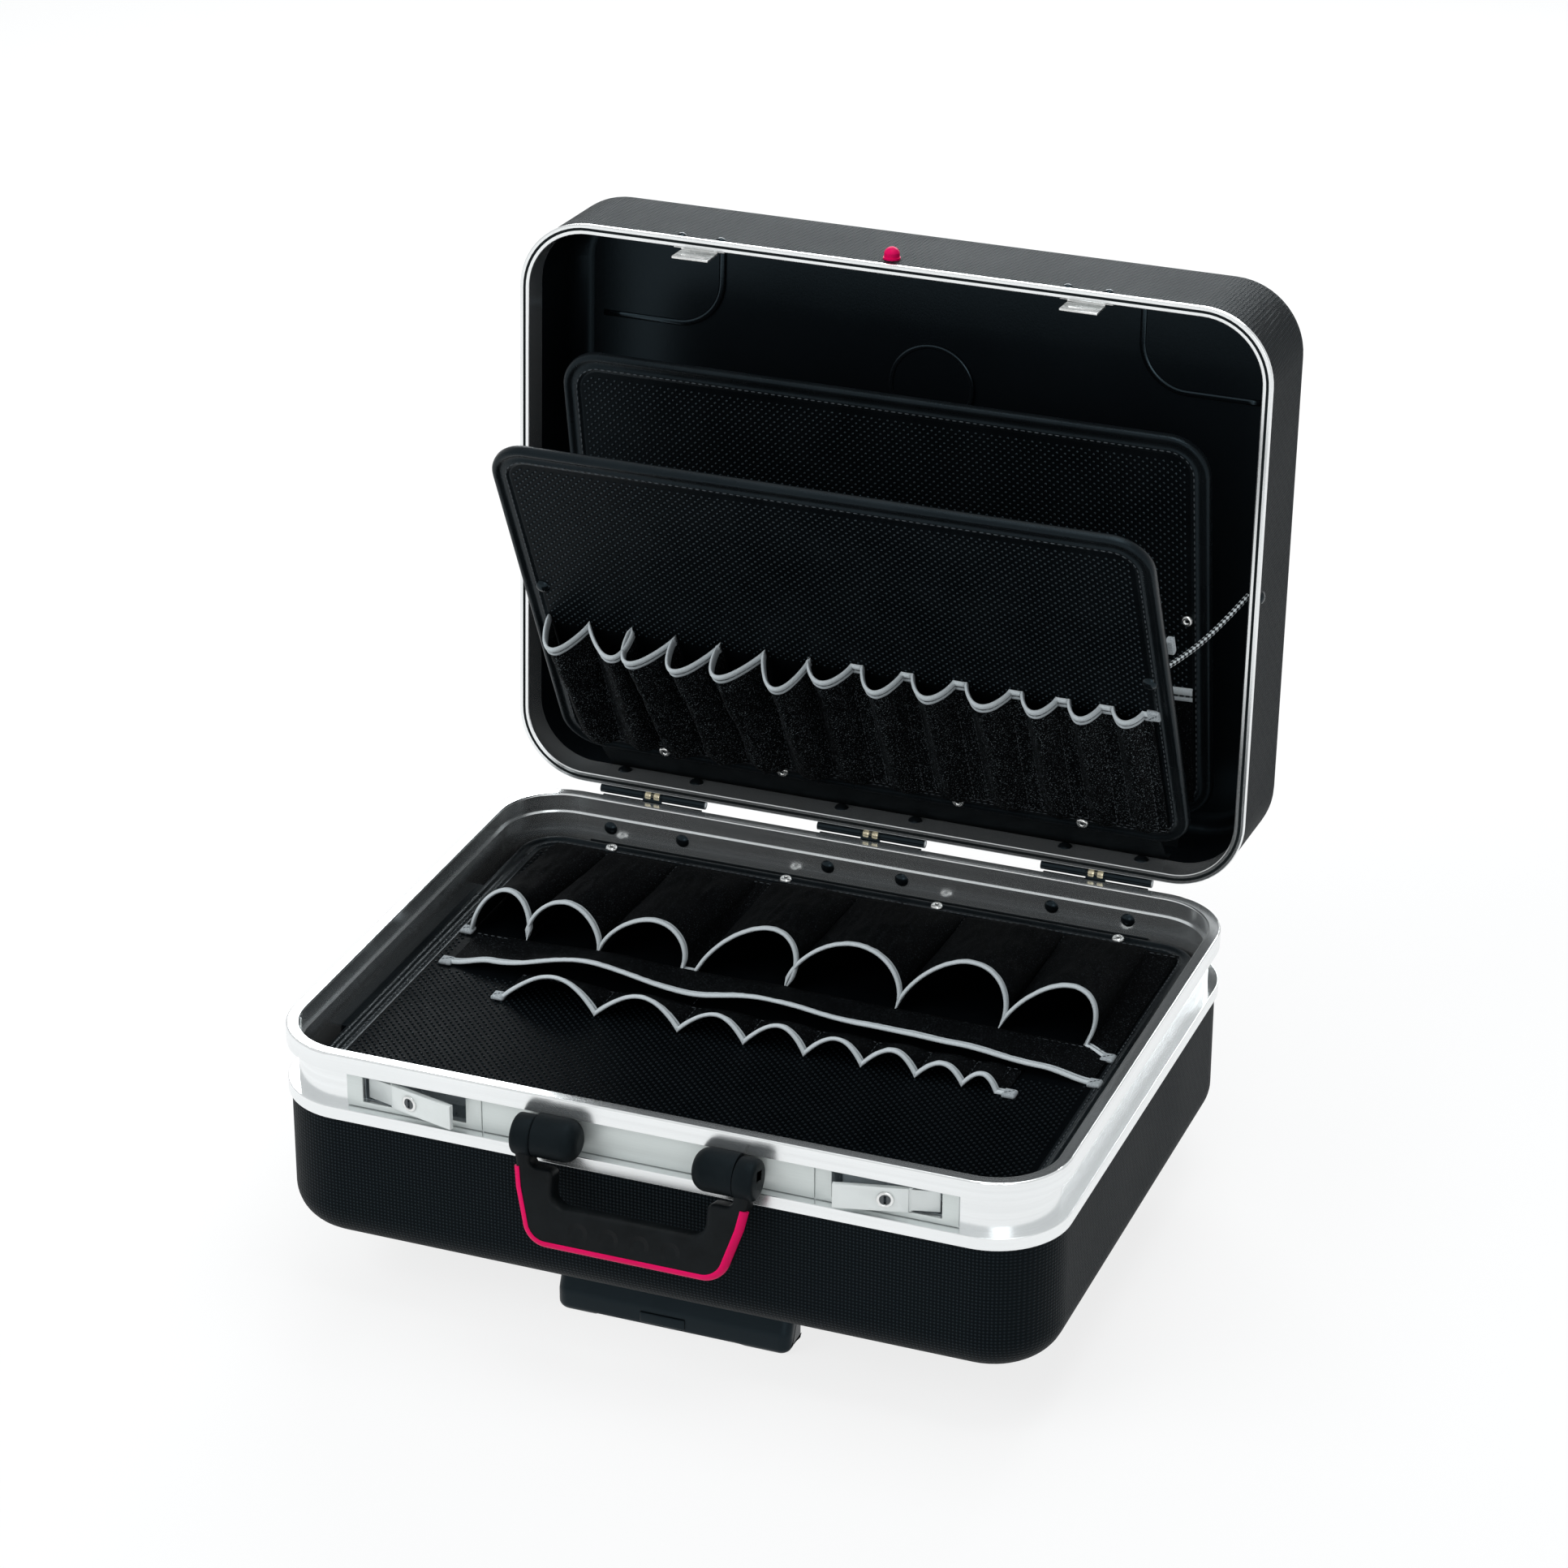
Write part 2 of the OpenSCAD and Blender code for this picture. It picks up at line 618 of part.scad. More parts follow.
module hinge_lid_leaves() color("#1b1c1e")
    lid_place() for (i = [-1:1]) {
        x = i * hinge_pitch;
        inner = knuckle_len / 2 + gap;
        difference() {
            union() {
                translate([x - hinge_len / 2 + 2, half_d + 0.2, hinge_z + barrel_r + 0.6])
                    cube([hinge_len - 4, leaf_t, rivet_up + 6 - hinge_up - barrel_r]);
                for (s = [-1, 1]) {
                    translate([x + (s < 0 ? -hinge_len / 2 : inner), half_d + 0.2, hinge_z])
                        cube([hinge_len / 2 - inner, leaf_t, barrel_r + 2]);
                    translate([0, hinge_y, hinge_z]) rod(x + (s < 0 ? -hinge_len / 2 : inner),
                        x + (s < 0 ? -inner : hinge_len / 2), barrel_r);
                }
            }
            translate([0, hinge_y, hinge_z]) rod(x - hinge_len, x + hinge_len, hinge_pin_r + fit);
            for (s = [-0.5, 0.5]) translate([x + s * rivet_pitch, half_d - lip_w, rim_z + rivet_up])
                rotate([-90, 0, 0]) cylinder(h = lip_w + 5, r = shank_r + fit);
        }
    }

module hinge_pins() color("#9a9c9f")
    for (i = [-1:1]) translate([i * hinge_pitch, hinge_y, hinge_z])
        rod(-hinge_len / 2, hinge_len / 2, hinge_pin_r);

// Dome head inside, shank through the wall and a flat head outside
module rivet(y_in, y_out) {
    translate([0, y_in, 0]) rotate([90, 0, 0]) dome(rivet_r, 2.6);
    translate([0, y_in, 0]) rotate([-90, 0, 0]) cylinder(h = y_out - y_in, r = shank_r);
    translate([0, y_out, 0]) rotate([-90, 0, 0]) dome(3.6, 1.2);
}

module base_hinge_rivets() color("#141516")
    rivet_places(rim_z - rivet_down) rivet(wall_y, half_d + 0.2 + leaf_t);

module lid_hinge_rivets() color("#141516")
    lid_place() rivet_places(rim_z + rivet_up) rivet(half_d - lip_w, half_d + 0.2 + leaf_t);

// ---------- base board ----------

module base_board() color("#161719")
    translate([0, 0, base_board_top - board_t])
        round_plate(base_board_hw, base_board_front, base_hinge_y - board_edge, board_r, board_t);

module base_board_strap() color("#202124") {
    translate([-strap_hw, wall_y - strap_t, base_hinge_z - 5]) cube([2 * strap_hw, strap_t, 7]);
    translate([-strap_hw, base_hinge_y, base_hinge_z - strap_t / 2])
        cube([2 * strap_hw, wall_y - base_hinge_y - e, strap_t]);
    translate([0, base_hinge_y, base_hinge_z]) rod(-strap_hw, strap_hw, bead_r);
}

module base_board_rivets() color("#c4c6c8")
    for (x = base_rivet_x)
        translate([x, base_hinge_y - board_edge - silver_r - 0.8, base_board_top]) dome(silver_r, 1.8);

// Ledges on the frame's side walls, which carry the board
module board_ledges() color("#b0b2b5")
    mirrored_pair() translate([wall_x - ledge_w, -ledge_len / 2, base_board_top - board_t - gap - 6])
        difference() {
            cube([ledge_w, ledge_len, 6]);
            translate([-1, -1, -1]) cube([ledge_w - 1, ledge_len + 2, 5.5]);
        }

module base_cloth() translate([0, 0, base_board_top + 0.02]) children();

module base_pockets_large() color("#141516")
    base_cloth() pocket_row(large_x, large_rise, large_mouth, large_end, 0.25, 0.08);

module base_pocket_strip() color("#141516")
    base_cloth() pocket_row(strip_x, strip_rise, strip_mouth, strip_end, 0, 0.3);

module base_pockets_small() color("#141516")
    base_cloth() pocket_row(small_x, small_rise, small_mouth, small_end, 0.2, 0.2);

// ---------- lid ----------

module lid_shell() color("#1c1d20")
    lid_place() {
        top = rim_z + lid_h;
        low = lid_rim + lip_h;
        inner = top - lid_wall;
        difference() {
            translate([0, 0, top]) mirror([0, 0, 1]) {
                around() tray_section(corner_r - lid_in, top - low, lid_edge_r, lid_wall);
                translate([-corner_x, -corner_y, 0]) cube([2 * corner_x, 2 * corner_y, lid_wall]);
            }
            rivet_places(rim_z + rivet_up) translate([0, half_d - lip_w - 1, 0])
                rotate([-90, 0, 0]) cylinder(h = lip_w + 2, r = shank_r + fit);
        }
        // pads pressed into the lid's inside: two at the front corners, one round
        pad_x = half_w - 105;
        pad_y = -half_d + 82;
        mirrored_pair() translate([0, 0, inner - 1.6 + e]) {
            translate([pad_x + 30, -half_d + 24, 0]) cube([half_w - 24 - pad_x - 30, pad_y + half_d - 24, 2]);
            translate([pad_x, -half_d + 24, 0]) cube([31, pad_y + half_d - 54, 2]);
            translate([pad_x + 30, pad_y - 30, 0]) cylinder(h = 2, r = 30);
        }
        translate([3, -half_d + 102, inner - 1.2]) cylinder(h = 1.6, r = 27);
    }

module lid_frame() color("#c9cbcd")
    lid_place() difference() {
        around() difference() {
            union() {
                soft_band(0, lip_w, lid_rim, lid_rim + lip_h, 0.8);
                band(lid_in + lid_wall + 0.2, lip_w, lid_rim + lip_h / 2, lid_rim + lid_frame_h);
            }
            band(2.3, 4.1, lid_rim - 1, lid_rim + 1.4);
        }
        rivet_places(rim_z + rivet_up) translate([0, half_d - lip_w - 1, 0])
            rotate([-90, 0, 0]) cylinder(h = lip_w, r = shank_r + fit);
    }

module lid_seal() color("#101112") lid_place() around() band(2.3, 4.1, lid_rim, lid_rim + 1.4);

// Clip with a slot, riveted inside the lid's front wall, which the latch takes hold of
module keeper(x) color("#c0c2c4")
    lid_place() translate([x, keeper_y, rim_z]) difference() {
        union() {
            translate([-keeper_w / 2, keeper_in, -keeper_drop])
                cube([keeper_w, keeper_t, keeper_drop + 5.4]);
            translate([-keeper_w / 2, 0, 3.8]) cube([keeper_w, keeper_in + keeper_t, 1.6]);
            translate([-17, 0, 3.8]) cube([34, keeper_t, 8]);
        }
        translate([-keeper_w / 2 + 4, -1, -keeper_drop + 3])
            cube([keeper_w - 8, keeper_in + keeper_t + 2, 3]);
    }
module keeper_left() keeper(-keeper_x);
module keeper_right() keeper(keeper_x);

module keeper_rivets() color("#141516")
    lid_place() for (x = [-keeper_x, keeper_x], s = [-13, 13])
        translate([x + s, keeper_y + keeper_t, rim_z + 7.5]) {
            rotate([-90, 0, 0]) dome(2.6, 1);
            translate([0, -keeper_t - lip_w + lid_in, 0]) rotate([90, 0, 0]) dome(3, 1.4);
        }

module lid_buffer() color("#cf1b50")
    lid_place() translate([-3, -half_d + lid_in, rim_z + 15]) rotate([90, 0, 0]) {
        cylinder(h = 1.2, r = 5.4);
        cylinder(h = 4, r = 4.8);
        translate([0, 0, 4]) dome(4.8, 3.6);
    }

module cord_screws() color("#141516")
    lid_place() mirrored_pair() translate([half_w - lid_in, cord_y, rim_z + cord_up]) {
        rotate([0, 90, 0]) dome(4, 1.6);
        translate([-(lip_w - lid_in), 0, 0]) rotate([0, -90, 0]) cylinder(h = 1.4, r = 3);
    }

// ---------- boards in the lid ----------

module lid_board()
    translate([0, 0, -board_t / 2])
        round_plate(lid_board_hw, -lid_board_h, -board_edge, board_r, board_t);

module front_board() color("#161719") board_place(front_depth, front_lean) lid_board();
module rear_board() color("#161719") board_place(rear_depth, rear_lean) lid_board();

// The pockets of the lid boards are sewn on the side that faces the base
module board_front(depth, lean)
    board_place(depth, lean) translate([0, 0, -board_t / 2 - 0.02]) mirror([0, 0, 1]) children();

module front_board_pockets() color("#141516")
    board_front(front_depth, front_lean)
        pocket_row(lid_x, lid_rise, -lid_row_mouth, -lid_row_end, 0, 0.16);

module rear_board_pocket() color("#141516")
    board_front(rear_depth, rear_lean)
        pocket_row(rear_x, rear_rise, -rear_row_mouth, -lid_row_end, 0, 0.3);

module front_board_rivets() color("#c4c6c8")
    board_front(front_depth, front_lean)
        for (x = lid_rivet_x) translate([x, -7.5, 0]) dome(silver_r, 1.8);

module rear_board_rivets() color("#9b9da0")
    board_front(rear_depth, rear_lean)
        for (x = [-eyelet_x, eyelet_x]) translate([x, -stud_up + 4, 0]) dome(silver_r - 1, 1.2);

module front_board_studs() color("#141516")
    board_front(front_depth, front_lean) mirrored_pair() translate([stud_x, -stud_up, 0]) {
        dome(stud_r, 3);
        translate([0, 0, -board_t - 2.5 - 0.04]) cylinder(h = 2.5, r = 3.4);
    }

// Stiff cloth strap from a board's hinge line to the lid's wall, where its foot is sewn on
module lid_strap(depth, foot)
    lid_place() {
        wall = half_d - lid_in - lid_wall;
        run = [wall - strap_t / 2 - board_hinge_y, foot - depth];
        side = strap_t / 2 / norm(run) * [-run[1], run[0]];
        translate([0, board_hinge_y, rim_z + depth]) {
            along_x(-strap_hw, strap_hw) polygon([side, -side, run - side, run + side]);
            rod(-strap_hw, strap_hw, bead_r);
        }
        translate([-strap_hw, wall - strap_t, rim_z + foot - strap_t / 2])
            cube([2 * strap_hw, strap_t, strap_foot]);
    }

module front_board_strap() color("#202124") lid_strap(front_depth, front_foot);

module rear_board_strap() color("#202124") lid_strap(rear_depth, rear_depth);

// Cord from the screw in the lid's side to the stud on the front board, sagging a little
module stay_cord(side) color("#3a3c3e") {
    n = 12;
    from = lid_point([side * (half_w - lip_w - 2.8), cord_y, rim_z + cord_up]);
    to = front_point([side * (stud_x + 1), board_hinge_y - stud_up,
        rim_z + front_depth + board_t / 2 + 3 + cord_r]);
    cord([for (i = [0:n]) from + (to - from) * i / n - [0, 0, 5 * sin(180 * i / n)]], cord_r);
}
module stay_cord_left() stay_cord(-1);
module stay_cord_right() stay_cord(1);

// ---------- trolley ----------

module pipe_y(y0, y1, r, bore)
    mirrored_pair() translate([tube_x, y0, tube_z]) rotate([-90, 0, 0]) difference() {
        cylinder(h = y1 - y0, r = r);
        translate([0, 0, -1]) cylinder(h = y1 - y0 + 2, r = bore);
    }

module trolley_housing() color("#18191b")
    difference() {
        translate([-tube_x - 20, tube_front, 0])
            cube([2 * (tube_x + 20), tube_back - tube_front, stand_h + relief_d]);
        mirrored_pair() translate([tube_x, tube_front - 1, tube_z]) rotate([-90, 0, 0])
            cylinder(h = tube_back - tube_front + 2, r = tube_r);
        mirrored_pair() translate([3, tube_front - 1, 4])
            cube([tube_x - tube_r - 10, tube_back - tube_front + 2, stand_h - 8]);
    }

module trolley_outer_tubes() color("#8f9295")
    pipe_y(tube_front, tube_back, tube_r, tube_r - tube_wall);

module trolley_middle_tubes() color("#a5a8ab")
    pipe_y(tube_front - 6, tube_back - 12, mid_r, mid_r - tube_wall);

module trolley_inner_tubes() color("#b9bcbf")
    pipe_y(pull_y + pull_deep - 14, tube_back - 24, in_r, in_r - tube_wall);

module pull_section() {
    polygon([[0, 1.5], [1.5, 0], [pull_deep - 1.5, 0], [pull_deep, 1.5], [pull_deep, pull_h - 3],
        [pull_deep - 3, pull_h], [9, pull_h], [6, pull_h - 2], [1.5, 15], [0, 13]]);
}

button_x = -6;
button_w = 29;
module trolley_grip() color("#151618")
    difference() {
        translate([0, pull_y, 0]) along_x(-pull_hw, pull_hw) pull_section();
        translate([-48, pull_y - 1, -1]) cube([90, pull_deep + 2, 1 + 2.2]);
        translate([button_x - button_w / 2 - gap, pull_y - 1, 3.5])
            cube([button_w + 2 * gap, 7, 7.6 + gap]);
        mirrored_pair() translate([tube_x, pull_y + pull_deep - 14, tube_z]) rotate([-90, 0, 0])
            cylinder(h = 15, r = in_r);
    }

module trolley_button() color("#0f1011")
    translate([button_x - button_w / 2, pull_y - 1.2, 3.5 + gap]) cube([button_w, 4.6, 7.6 - gap]);

// Corner brackets that hug the tray and hold the wheels between two cheeks
module wheel_brackets() color("#18191b")
    mirrored_pair() difference() {
        x0 = wheel_x - wheel_w / 2 - well - cheek;
        x1 = wheel_x + wheel_w / 2 + well + cheek;
        union() {
            translate([x0, half_d - 62, 9]) cube([x1 - x0, 50, stand_h + 13]);
            translate([x0, half_d - 14, 16]) cube([x1 - x0, 26, 62]);
            translate([x0, wheel_y, wheel_r]) rotate([0, 90, 0]) cylinder(h = x1 - x0, r = 13);
            translate([x0, wheel_y - 19, wheel_r - 13]) cube([x1 - x0, 19, 26]);
        }
        translate([0, wheel_y, wheel_r]) rod(x0 + cheek, x1 - cheek, wheel_r + well);
        translate([x0 + cheek, wheel_y - 8, -1]) cube([x1 - x0 - 2 * cheek, 60, wheel_r + 40]);
        translate([0, 0, stand_h]) {
            along_x(x0 - 1, x1 + 1) translate([corner_y, 0])
                tray_half(corner_r - shell_in, shell_top - stand_h + 20, base_edge_r);
            translate([x0 - 1, 0, 0]) cube([x1 - x0 + 2, corner_y + 1, 90]);
        }
        translate([0, wheel_y, wheel_r]) rod(x0 - 1, x1 + 1, axle_r + fit);
    }

module wheel() color("#131415")
    difference() {
        union() {
            translate([0, wheel_y, wheel_r]) rod(wheel_x - wheel_w / 2 + 3, wheel_x + wheel_w / 2 - 3, wheel_r);
            translate([0, wheel_y, wheel_r]) rod(wheel_x - wheel_w / 2, wheel_x + wheel_w / 2, wheel_r - 3);
        }
        for (s = [-1, 1]) translate([wheel_x + s * wheel_w / 2, wheel_y, wheel_r]) rotate([0, 90, 0])
            difference() {
                cylinder(h = 6, r = wheel_r * 0.62, center = true);
                cylinder(h = 8, r = axle_r + 5, center = true);
            }
        translate([0, wheel_y, wheel_r]) rod(wheel_x - wheel_w, wheel_x + wheel_w, axle_r + fit);
    }
module wheel_left() mirror([1, 0, 0]) wheel();
module wheel_right() wheel();

module wheel_axles() color("#a0a3a6")
    mirrored_pair() translate([0, wheel_y, wheel_r])
        rod(wheel_x - wheel_w / 2 - well - cheek, wheel_x + wheel_w / 2 + well + cheek, axle_r);

base_shell();
base_frame();
base_seam_plate();
name_strip();
latch_plate_left();
latch_plate_right();
latch_case_left();
latch_case_right();
latch_lever_left();
latch_lever_right();
latch_hook_left();
latch_hook_right();
lock_left();
lock_right();
latch_pins();
handle_brackets();
handle_grip();
handle_stripe();
handle_pins();
hinge_base_leaves();
hinge_lid_leaves();
hinge_pins();
base_hinge_rivets();
lid_hinge_rivets();
base_board();
base_board_strap();
base_board_rivets();
board_ledges();
base_pockets_large();
base_pocket_strip();
base_pockets_small();
lid_shell();
lid_frame();
lid_seal();
keeper_left();
keeper_right();
keeper_rivets();
lid_buffer();
cord_screws();
stay_cord_left();
stay_cord_right();
front_board();
front_board_pockets();
front_board_rivets();
front_board_studs();
front_board_strap();
rear_board();
rear_board_pocket();
rear_board_rivets();
rear_board_strap();
trolley_housing();
trolley_outer_tubes();
trolley_middle_tubes();
trolley_inner_tubes();
trolley_grip();
trolley_button();
wheel_brackets();
wheel_left();
wheel_right();
wheel_axles();
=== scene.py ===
# %% [markdown]
# # A hard tool case, dressed for its picture
# The case is a real assembly: two moulded shells, an aluminium frame, tool boards that swing on
# sewn straps, two latches, a carry handle and a pull-out trolley. The engineering model gives the
# solid pieces. Here each one gets its finish, and the soft pieces (pockets, bindings, stitching,
# padded board edges) are made in full, each in the place that the solid holds.

# %% Load the model that the looks are built on
import json
import math

import bmesh
import bpy
import numpy as np
from mathutils import Matrix, Vector, noise


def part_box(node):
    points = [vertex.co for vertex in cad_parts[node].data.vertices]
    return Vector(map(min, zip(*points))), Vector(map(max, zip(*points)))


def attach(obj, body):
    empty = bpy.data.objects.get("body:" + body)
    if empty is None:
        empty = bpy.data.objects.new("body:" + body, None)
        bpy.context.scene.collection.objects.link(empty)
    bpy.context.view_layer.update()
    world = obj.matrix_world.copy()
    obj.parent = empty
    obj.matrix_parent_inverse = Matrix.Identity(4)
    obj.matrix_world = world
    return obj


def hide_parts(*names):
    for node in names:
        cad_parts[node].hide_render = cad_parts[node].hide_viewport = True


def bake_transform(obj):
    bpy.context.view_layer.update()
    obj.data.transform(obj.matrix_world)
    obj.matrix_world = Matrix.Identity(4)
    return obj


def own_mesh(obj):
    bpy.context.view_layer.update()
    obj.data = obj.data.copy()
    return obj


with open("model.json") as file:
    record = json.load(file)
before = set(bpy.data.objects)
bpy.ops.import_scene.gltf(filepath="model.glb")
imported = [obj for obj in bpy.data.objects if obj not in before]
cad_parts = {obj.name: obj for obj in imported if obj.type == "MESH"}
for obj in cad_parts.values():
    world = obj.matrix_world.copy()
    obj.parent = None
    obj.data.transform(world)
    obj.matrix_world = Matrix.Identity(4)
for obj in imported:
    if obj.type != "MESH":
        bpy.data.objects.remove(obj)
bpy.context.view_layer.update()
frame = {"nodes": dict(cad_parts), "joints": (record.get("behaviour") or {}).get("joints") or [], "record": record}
nodes = frame["nodes"]
joint = {j["name"]: j for j in frame["joints"]}
print("pieces in the model:", len(nodes))

# %% [markdown]
# ## The camera
# The picture was taken from the right of the front, a little above the open case. A long lens
# keeps the case's sides nearly parallel, as in the photograph. The camera is placed first,
# because everything after it is judged through it.

# %% Camera
camera_data = bpy.data.cameras.new("camera")
camera_data.lens = 109.25
camera_data.sensor_width = 36
camera = bpy.data.objects.new("camera", camera_data)
bpy.context.scene.collection.objects.link(camera)
target = Vector((0.02684, -0.03290, 0.31732))
CAMERA_DISTANCE = 2.78406
turn, rise, roll = map(math.radians, (21.22, 26.10, 0.1))
away = Vector((math.sin(turn) * math.cos(rise), -math.cos(turn) * math.cos(rise), math.sin(rise)))
camera.location = target + away * CAMERA_DISTANCE
camera.rotation_mode = "QUATERNION"
aimed = (-away).to_track_quat("-Z", "Y")
camera.rotation_quaternion = aimed @ Matrix.Rotation(roll, 3, "Z").to_quaternion()
bpy.context.scene.camera = camera
print("camera stands at", [round(x, 3) for x in camera.location])

# %% [markdown]
# ## Floor, backdrop and light
# A pale floor that is nearly white in the picture still keeps a faint shadow of the case. The
# world is white to the camera, part white in reflections, and dimmer for the light that falls on
# the case, so that black plastic stays black. The large window lamp is left out of reflections,
# or it would burn out the left corner of the frame.

# %% Helpers for materials
def new_material(name):
    material = bpy.data.materials.new(name)
    material.use_nodes = True
    tree = material.node_tree
    shader = tree.nodes["Principled BSDF"]
    return material, tree, shader


def link(tree, source, target_socket):
    tree.links.new(source, target_socket)


def math_node(tree, operation, a, b=None, clamp=False):
    node = tree.nodes.new("ShaderNodeMath")
    node.operation = operation
    node.use_clamp = clamp
    for socket, value in zip(node.inputs, (a, b)):
        if value is None:
            continue
        if isinstance(value, (int, float)):
            socket.default_value = value
        else:
            link(tree, value, socket)
    return node.outputs[0]


# %% Floor and world
def make_floor():
    bpy.ops.mesh.primitive_plane_add(size=14, location=(0, 0, -0.0004))
    floor = bpy.context.object
    floor.name = "floor"
    material, tree, shader = new_material("floor_paint")
    shader.inputs["Base Color"].default_value = (0.86, 0.86, 0.86, 1)
    shader.inputs["Roughness"].default_value = 0.9
    white = tree.nodes.new("ShaderNodeEmission")
    white.inputs["Color"].default_value = (1, 1, 1, 1)
    path = tree.nodes.new("ShaderNodeLightPath")
    mix = tree.nodes.new("ShaderNodeMixShader")
    seen = math_node(tree, "MAXIMUM", path.outputs["Is Camera Ray"], path.outputs["Is Glossy Ray"])
    seen = math_node(tree, "MAXIMUM", seen, path.outputs["Is Transmission Ray"])
    link(tree, math_node(tree, "MULTIPLY", seen, 0.8), mix.inputs[0])
    link(tree, shader.outputs[0], mix.inputs[1])
    link(tree, white.outputs[0], mix.inputs[2])
    link(tree, mix.outputs[0], tree.nodes["Material Output"].inputs[0])
    floor.data.materials.append(material)
    return floor


def make_world():
    world = bpy.data.worlds.new("studio")
    bpy.context.scene.world = world
    world.use_nodes = True
    tree = world.node_tree
    path = tree.nodes.new("ShaderNodeLightPath")
    plain = tree.nodes["Background"]
    plain.inputs[0].default_value = (0.92, 0.96, 1.0, 1)
    plain.inputs[1].default_value = 0.30
    white = tree.nodes.new("ShaderNodeBackground")
    white.inputs[0].default_value = (1, 1, 1, 1)
    mix = tree.nodes.new("ShaderNodeMixShader")
    seen = math_node(tree, "MAXIMUM", path.outputs["Is Camera Ray"], path.outputs["Is Transmission Ray"])
    glossy = math_node(tree, "MULTIPLY", path.outputs["Is Glossy Ray"], 0.6)
    link(tree, math_node(tree, "MAXIMUM", seen, glossy), mix.inputs[0])
    link(tree, plain.outputs[0], mix.inputs[1])
    link(tree, white.outputs[0], mix.inputs[2])
    link(tree, mix.outputs[0], tree.nodes["World Output"].inputs[0])


LAMP_COLOUR = (0.955, 0.99, 1.0)


def soft_lamp(name, place, aim, size, power, glossy=True):
    data = bpy.data.lights.new(name, "AREA")
    data.shape = "RECTANGLE"
    data.size, data.size_y = size
    data.energy = power
    data.color = LAMP_COLOUR
    lamp = bpy.data.objects.new(name, data)
    lamp.location = place
    lamp.rotation_mode = "QUATERNION"
    lamp.rotation_quaternion = (Vector(aim) - Vector(place)).to_track_quat("-Z", "Y")
    lamp.visible_camera = False
    lamp.visible_glossy = glossy
    bpy.context.scene.collection.objects.link(lamp)
    return lamp


make_floor()
make_world()
soft_lamp("window_left", (-1.8, -1.9, 1.9), (0, 0, 0.25), (2.6, 2.0), 62, glossy=False)
soft_lamp("overhead", (0.3, 0.1, 2.4), (0, 0, 0.2), (1.8, 1.2), 24)
soft_lamp("front_fill", (1.4, -2.3, 1.2), (0, 0, 0.2), (1.4, 1.2), 9)
soft_lamp("back_strip", (-0.5, 2.5, 1.5), (0, 0.25, 0.45), (2.4, 0.7), 60)

# %% [markdown]
# ## Moulded shell: black plastic with a pressed diamond texture
# The outside of the shells is pressed with fine raised diamonds, which hide scratches and give
# grip, while the inside is smooth and satin. The diamonds are a lattice of two crossed sine
# waves, laid on along X, Y and Z and mixed by the way each face points, so that no side smears.
# Black plastic gets most of its brightness from reflection, so the reflection is kept weak.

# %% Coordinates and patterns
def object_place(tree):
    coordinates = tree.nodes.new("ShaderNodeTexCoord")
    split = tree.nodes.new("ShaderNodeSeparateXYZ")
    link(tree, coordinates.outputs["Object"], split.inputs[0])
    return coordinates, split.outputs


def lattice(tree, a, b, pitch):
    """Raised diamonds on the plane of a and b, pitch metres apart."""
    k = math.pi / pitch
    wave_1 = math_node(tree, "SINE", math_node(tree, "MULTIPLY", math_node(tree, "ADD", a, b), k))
    wave_2 = math_node(tree, "SINE", math_node(tree, "MULTIPLY", math_node(tree, "SUBTRACT", a, b), k))
    return math_node(tree, "MULTIPLY", wave_1, wave_2)


def by_facing(tree, coordinates, along_x, along_y, along_z):
    """Mixes three flat patterns by the direction that the face points in."""
    split = tree.nodes.new("ShaderNodeSeparateXYZ")
    link(tree, coordinates.outputs["Normal"], split.inputs[0])
    total = None
    for axis, pattern in zip(split.outputs, (along_x, along_y, along_z)):
        weight = math_node(tree, "POWER", math_node(tree, "ABSOLUTE", axis), 4)
        part = math_node(tree, "MULTIPLY", weight, pattern)
        total = part if total is None else math_node(tree, "ADD", total, part)
    return total


GRAIN_ROUGHNESS = 0.55


def grain(tree, coordinates, scale, detail=3, stretch=(1, 1, 1)):
    mapping = tree.nodes.new("ShaderNodeMapping")
    mapping.inputs["Scale"].default_value = stretch
    link(tree, coordinates.outputs["Object"], mapping.inputs["Vector"])
    node = tree.nodes.new("ShaderNodeTexNoise")
    node.inputs["Scale"].default_value = scale
    node.inputs["Detail"].default_value = detail
    node.inputs["Roughness"].default_value = GRAIN_ROUGHNESS
    link(tree, mapping.outputs[0], node.inputs["Vector"])
    return node.outputs["Fac"]


def ramp(tree, value, low, high):
    """Maps 0..1 to low..high; each may be a number or a colour."""
    node = tree.nodes.new("ShaderNodeMapRange" if isinstance(low, (int, float)) else "ShaderNodeMix")
    if isinstance(low, (int, float)):
        link(tree, value, node.inputs["Value"])
        node.inputs["To Min"].default_value = low
        node.inputs["To Max"].default_value = high
        return node.outputs[0]
    node.data_type = "RGBA"
    link(tree, value, node.inputs[0])
    node.inputs[6].default_value = (*low, 1)
    node.inputs[7].default_value = (*high, 1)
    return node.outputs[2]

def spread(tree, value, low, high):
    """Stretches low..high to 0..1, for noise that hardly leaves the middle."""
    node = tree.nodes.new("ShaderNodeMapRange")
    link(tree, value, node.inputs["Value"])
    node.inputs["From Min"].default_value = low
    node.inputs["From Max"].default_value = high
    return node.outputs[0]


def bump(tree, shader, height, depth, edge=0.0):
    """Relief from a height in 0..1. edge rounds the hard edges a little, as moulding and pressing do."""
    node = tree.nodes.new("ShaderNodeBump")
    node.inputs["Strength"].default_value = 1.0
    node.inputs["Distance"].default_value = depth
    link(tree, height, node.inputs["Height"])
    if edge:
        soften = tree.nodes.new("ShaderNodeBevel")
        soften.samples = 4
        soften.inputs["Radius"].default_value = edge
        link(tree, soften.outputs[0], node.inputs["Normal"])
    link(tree, node.outputs[0], shader.inputs["Normal"])


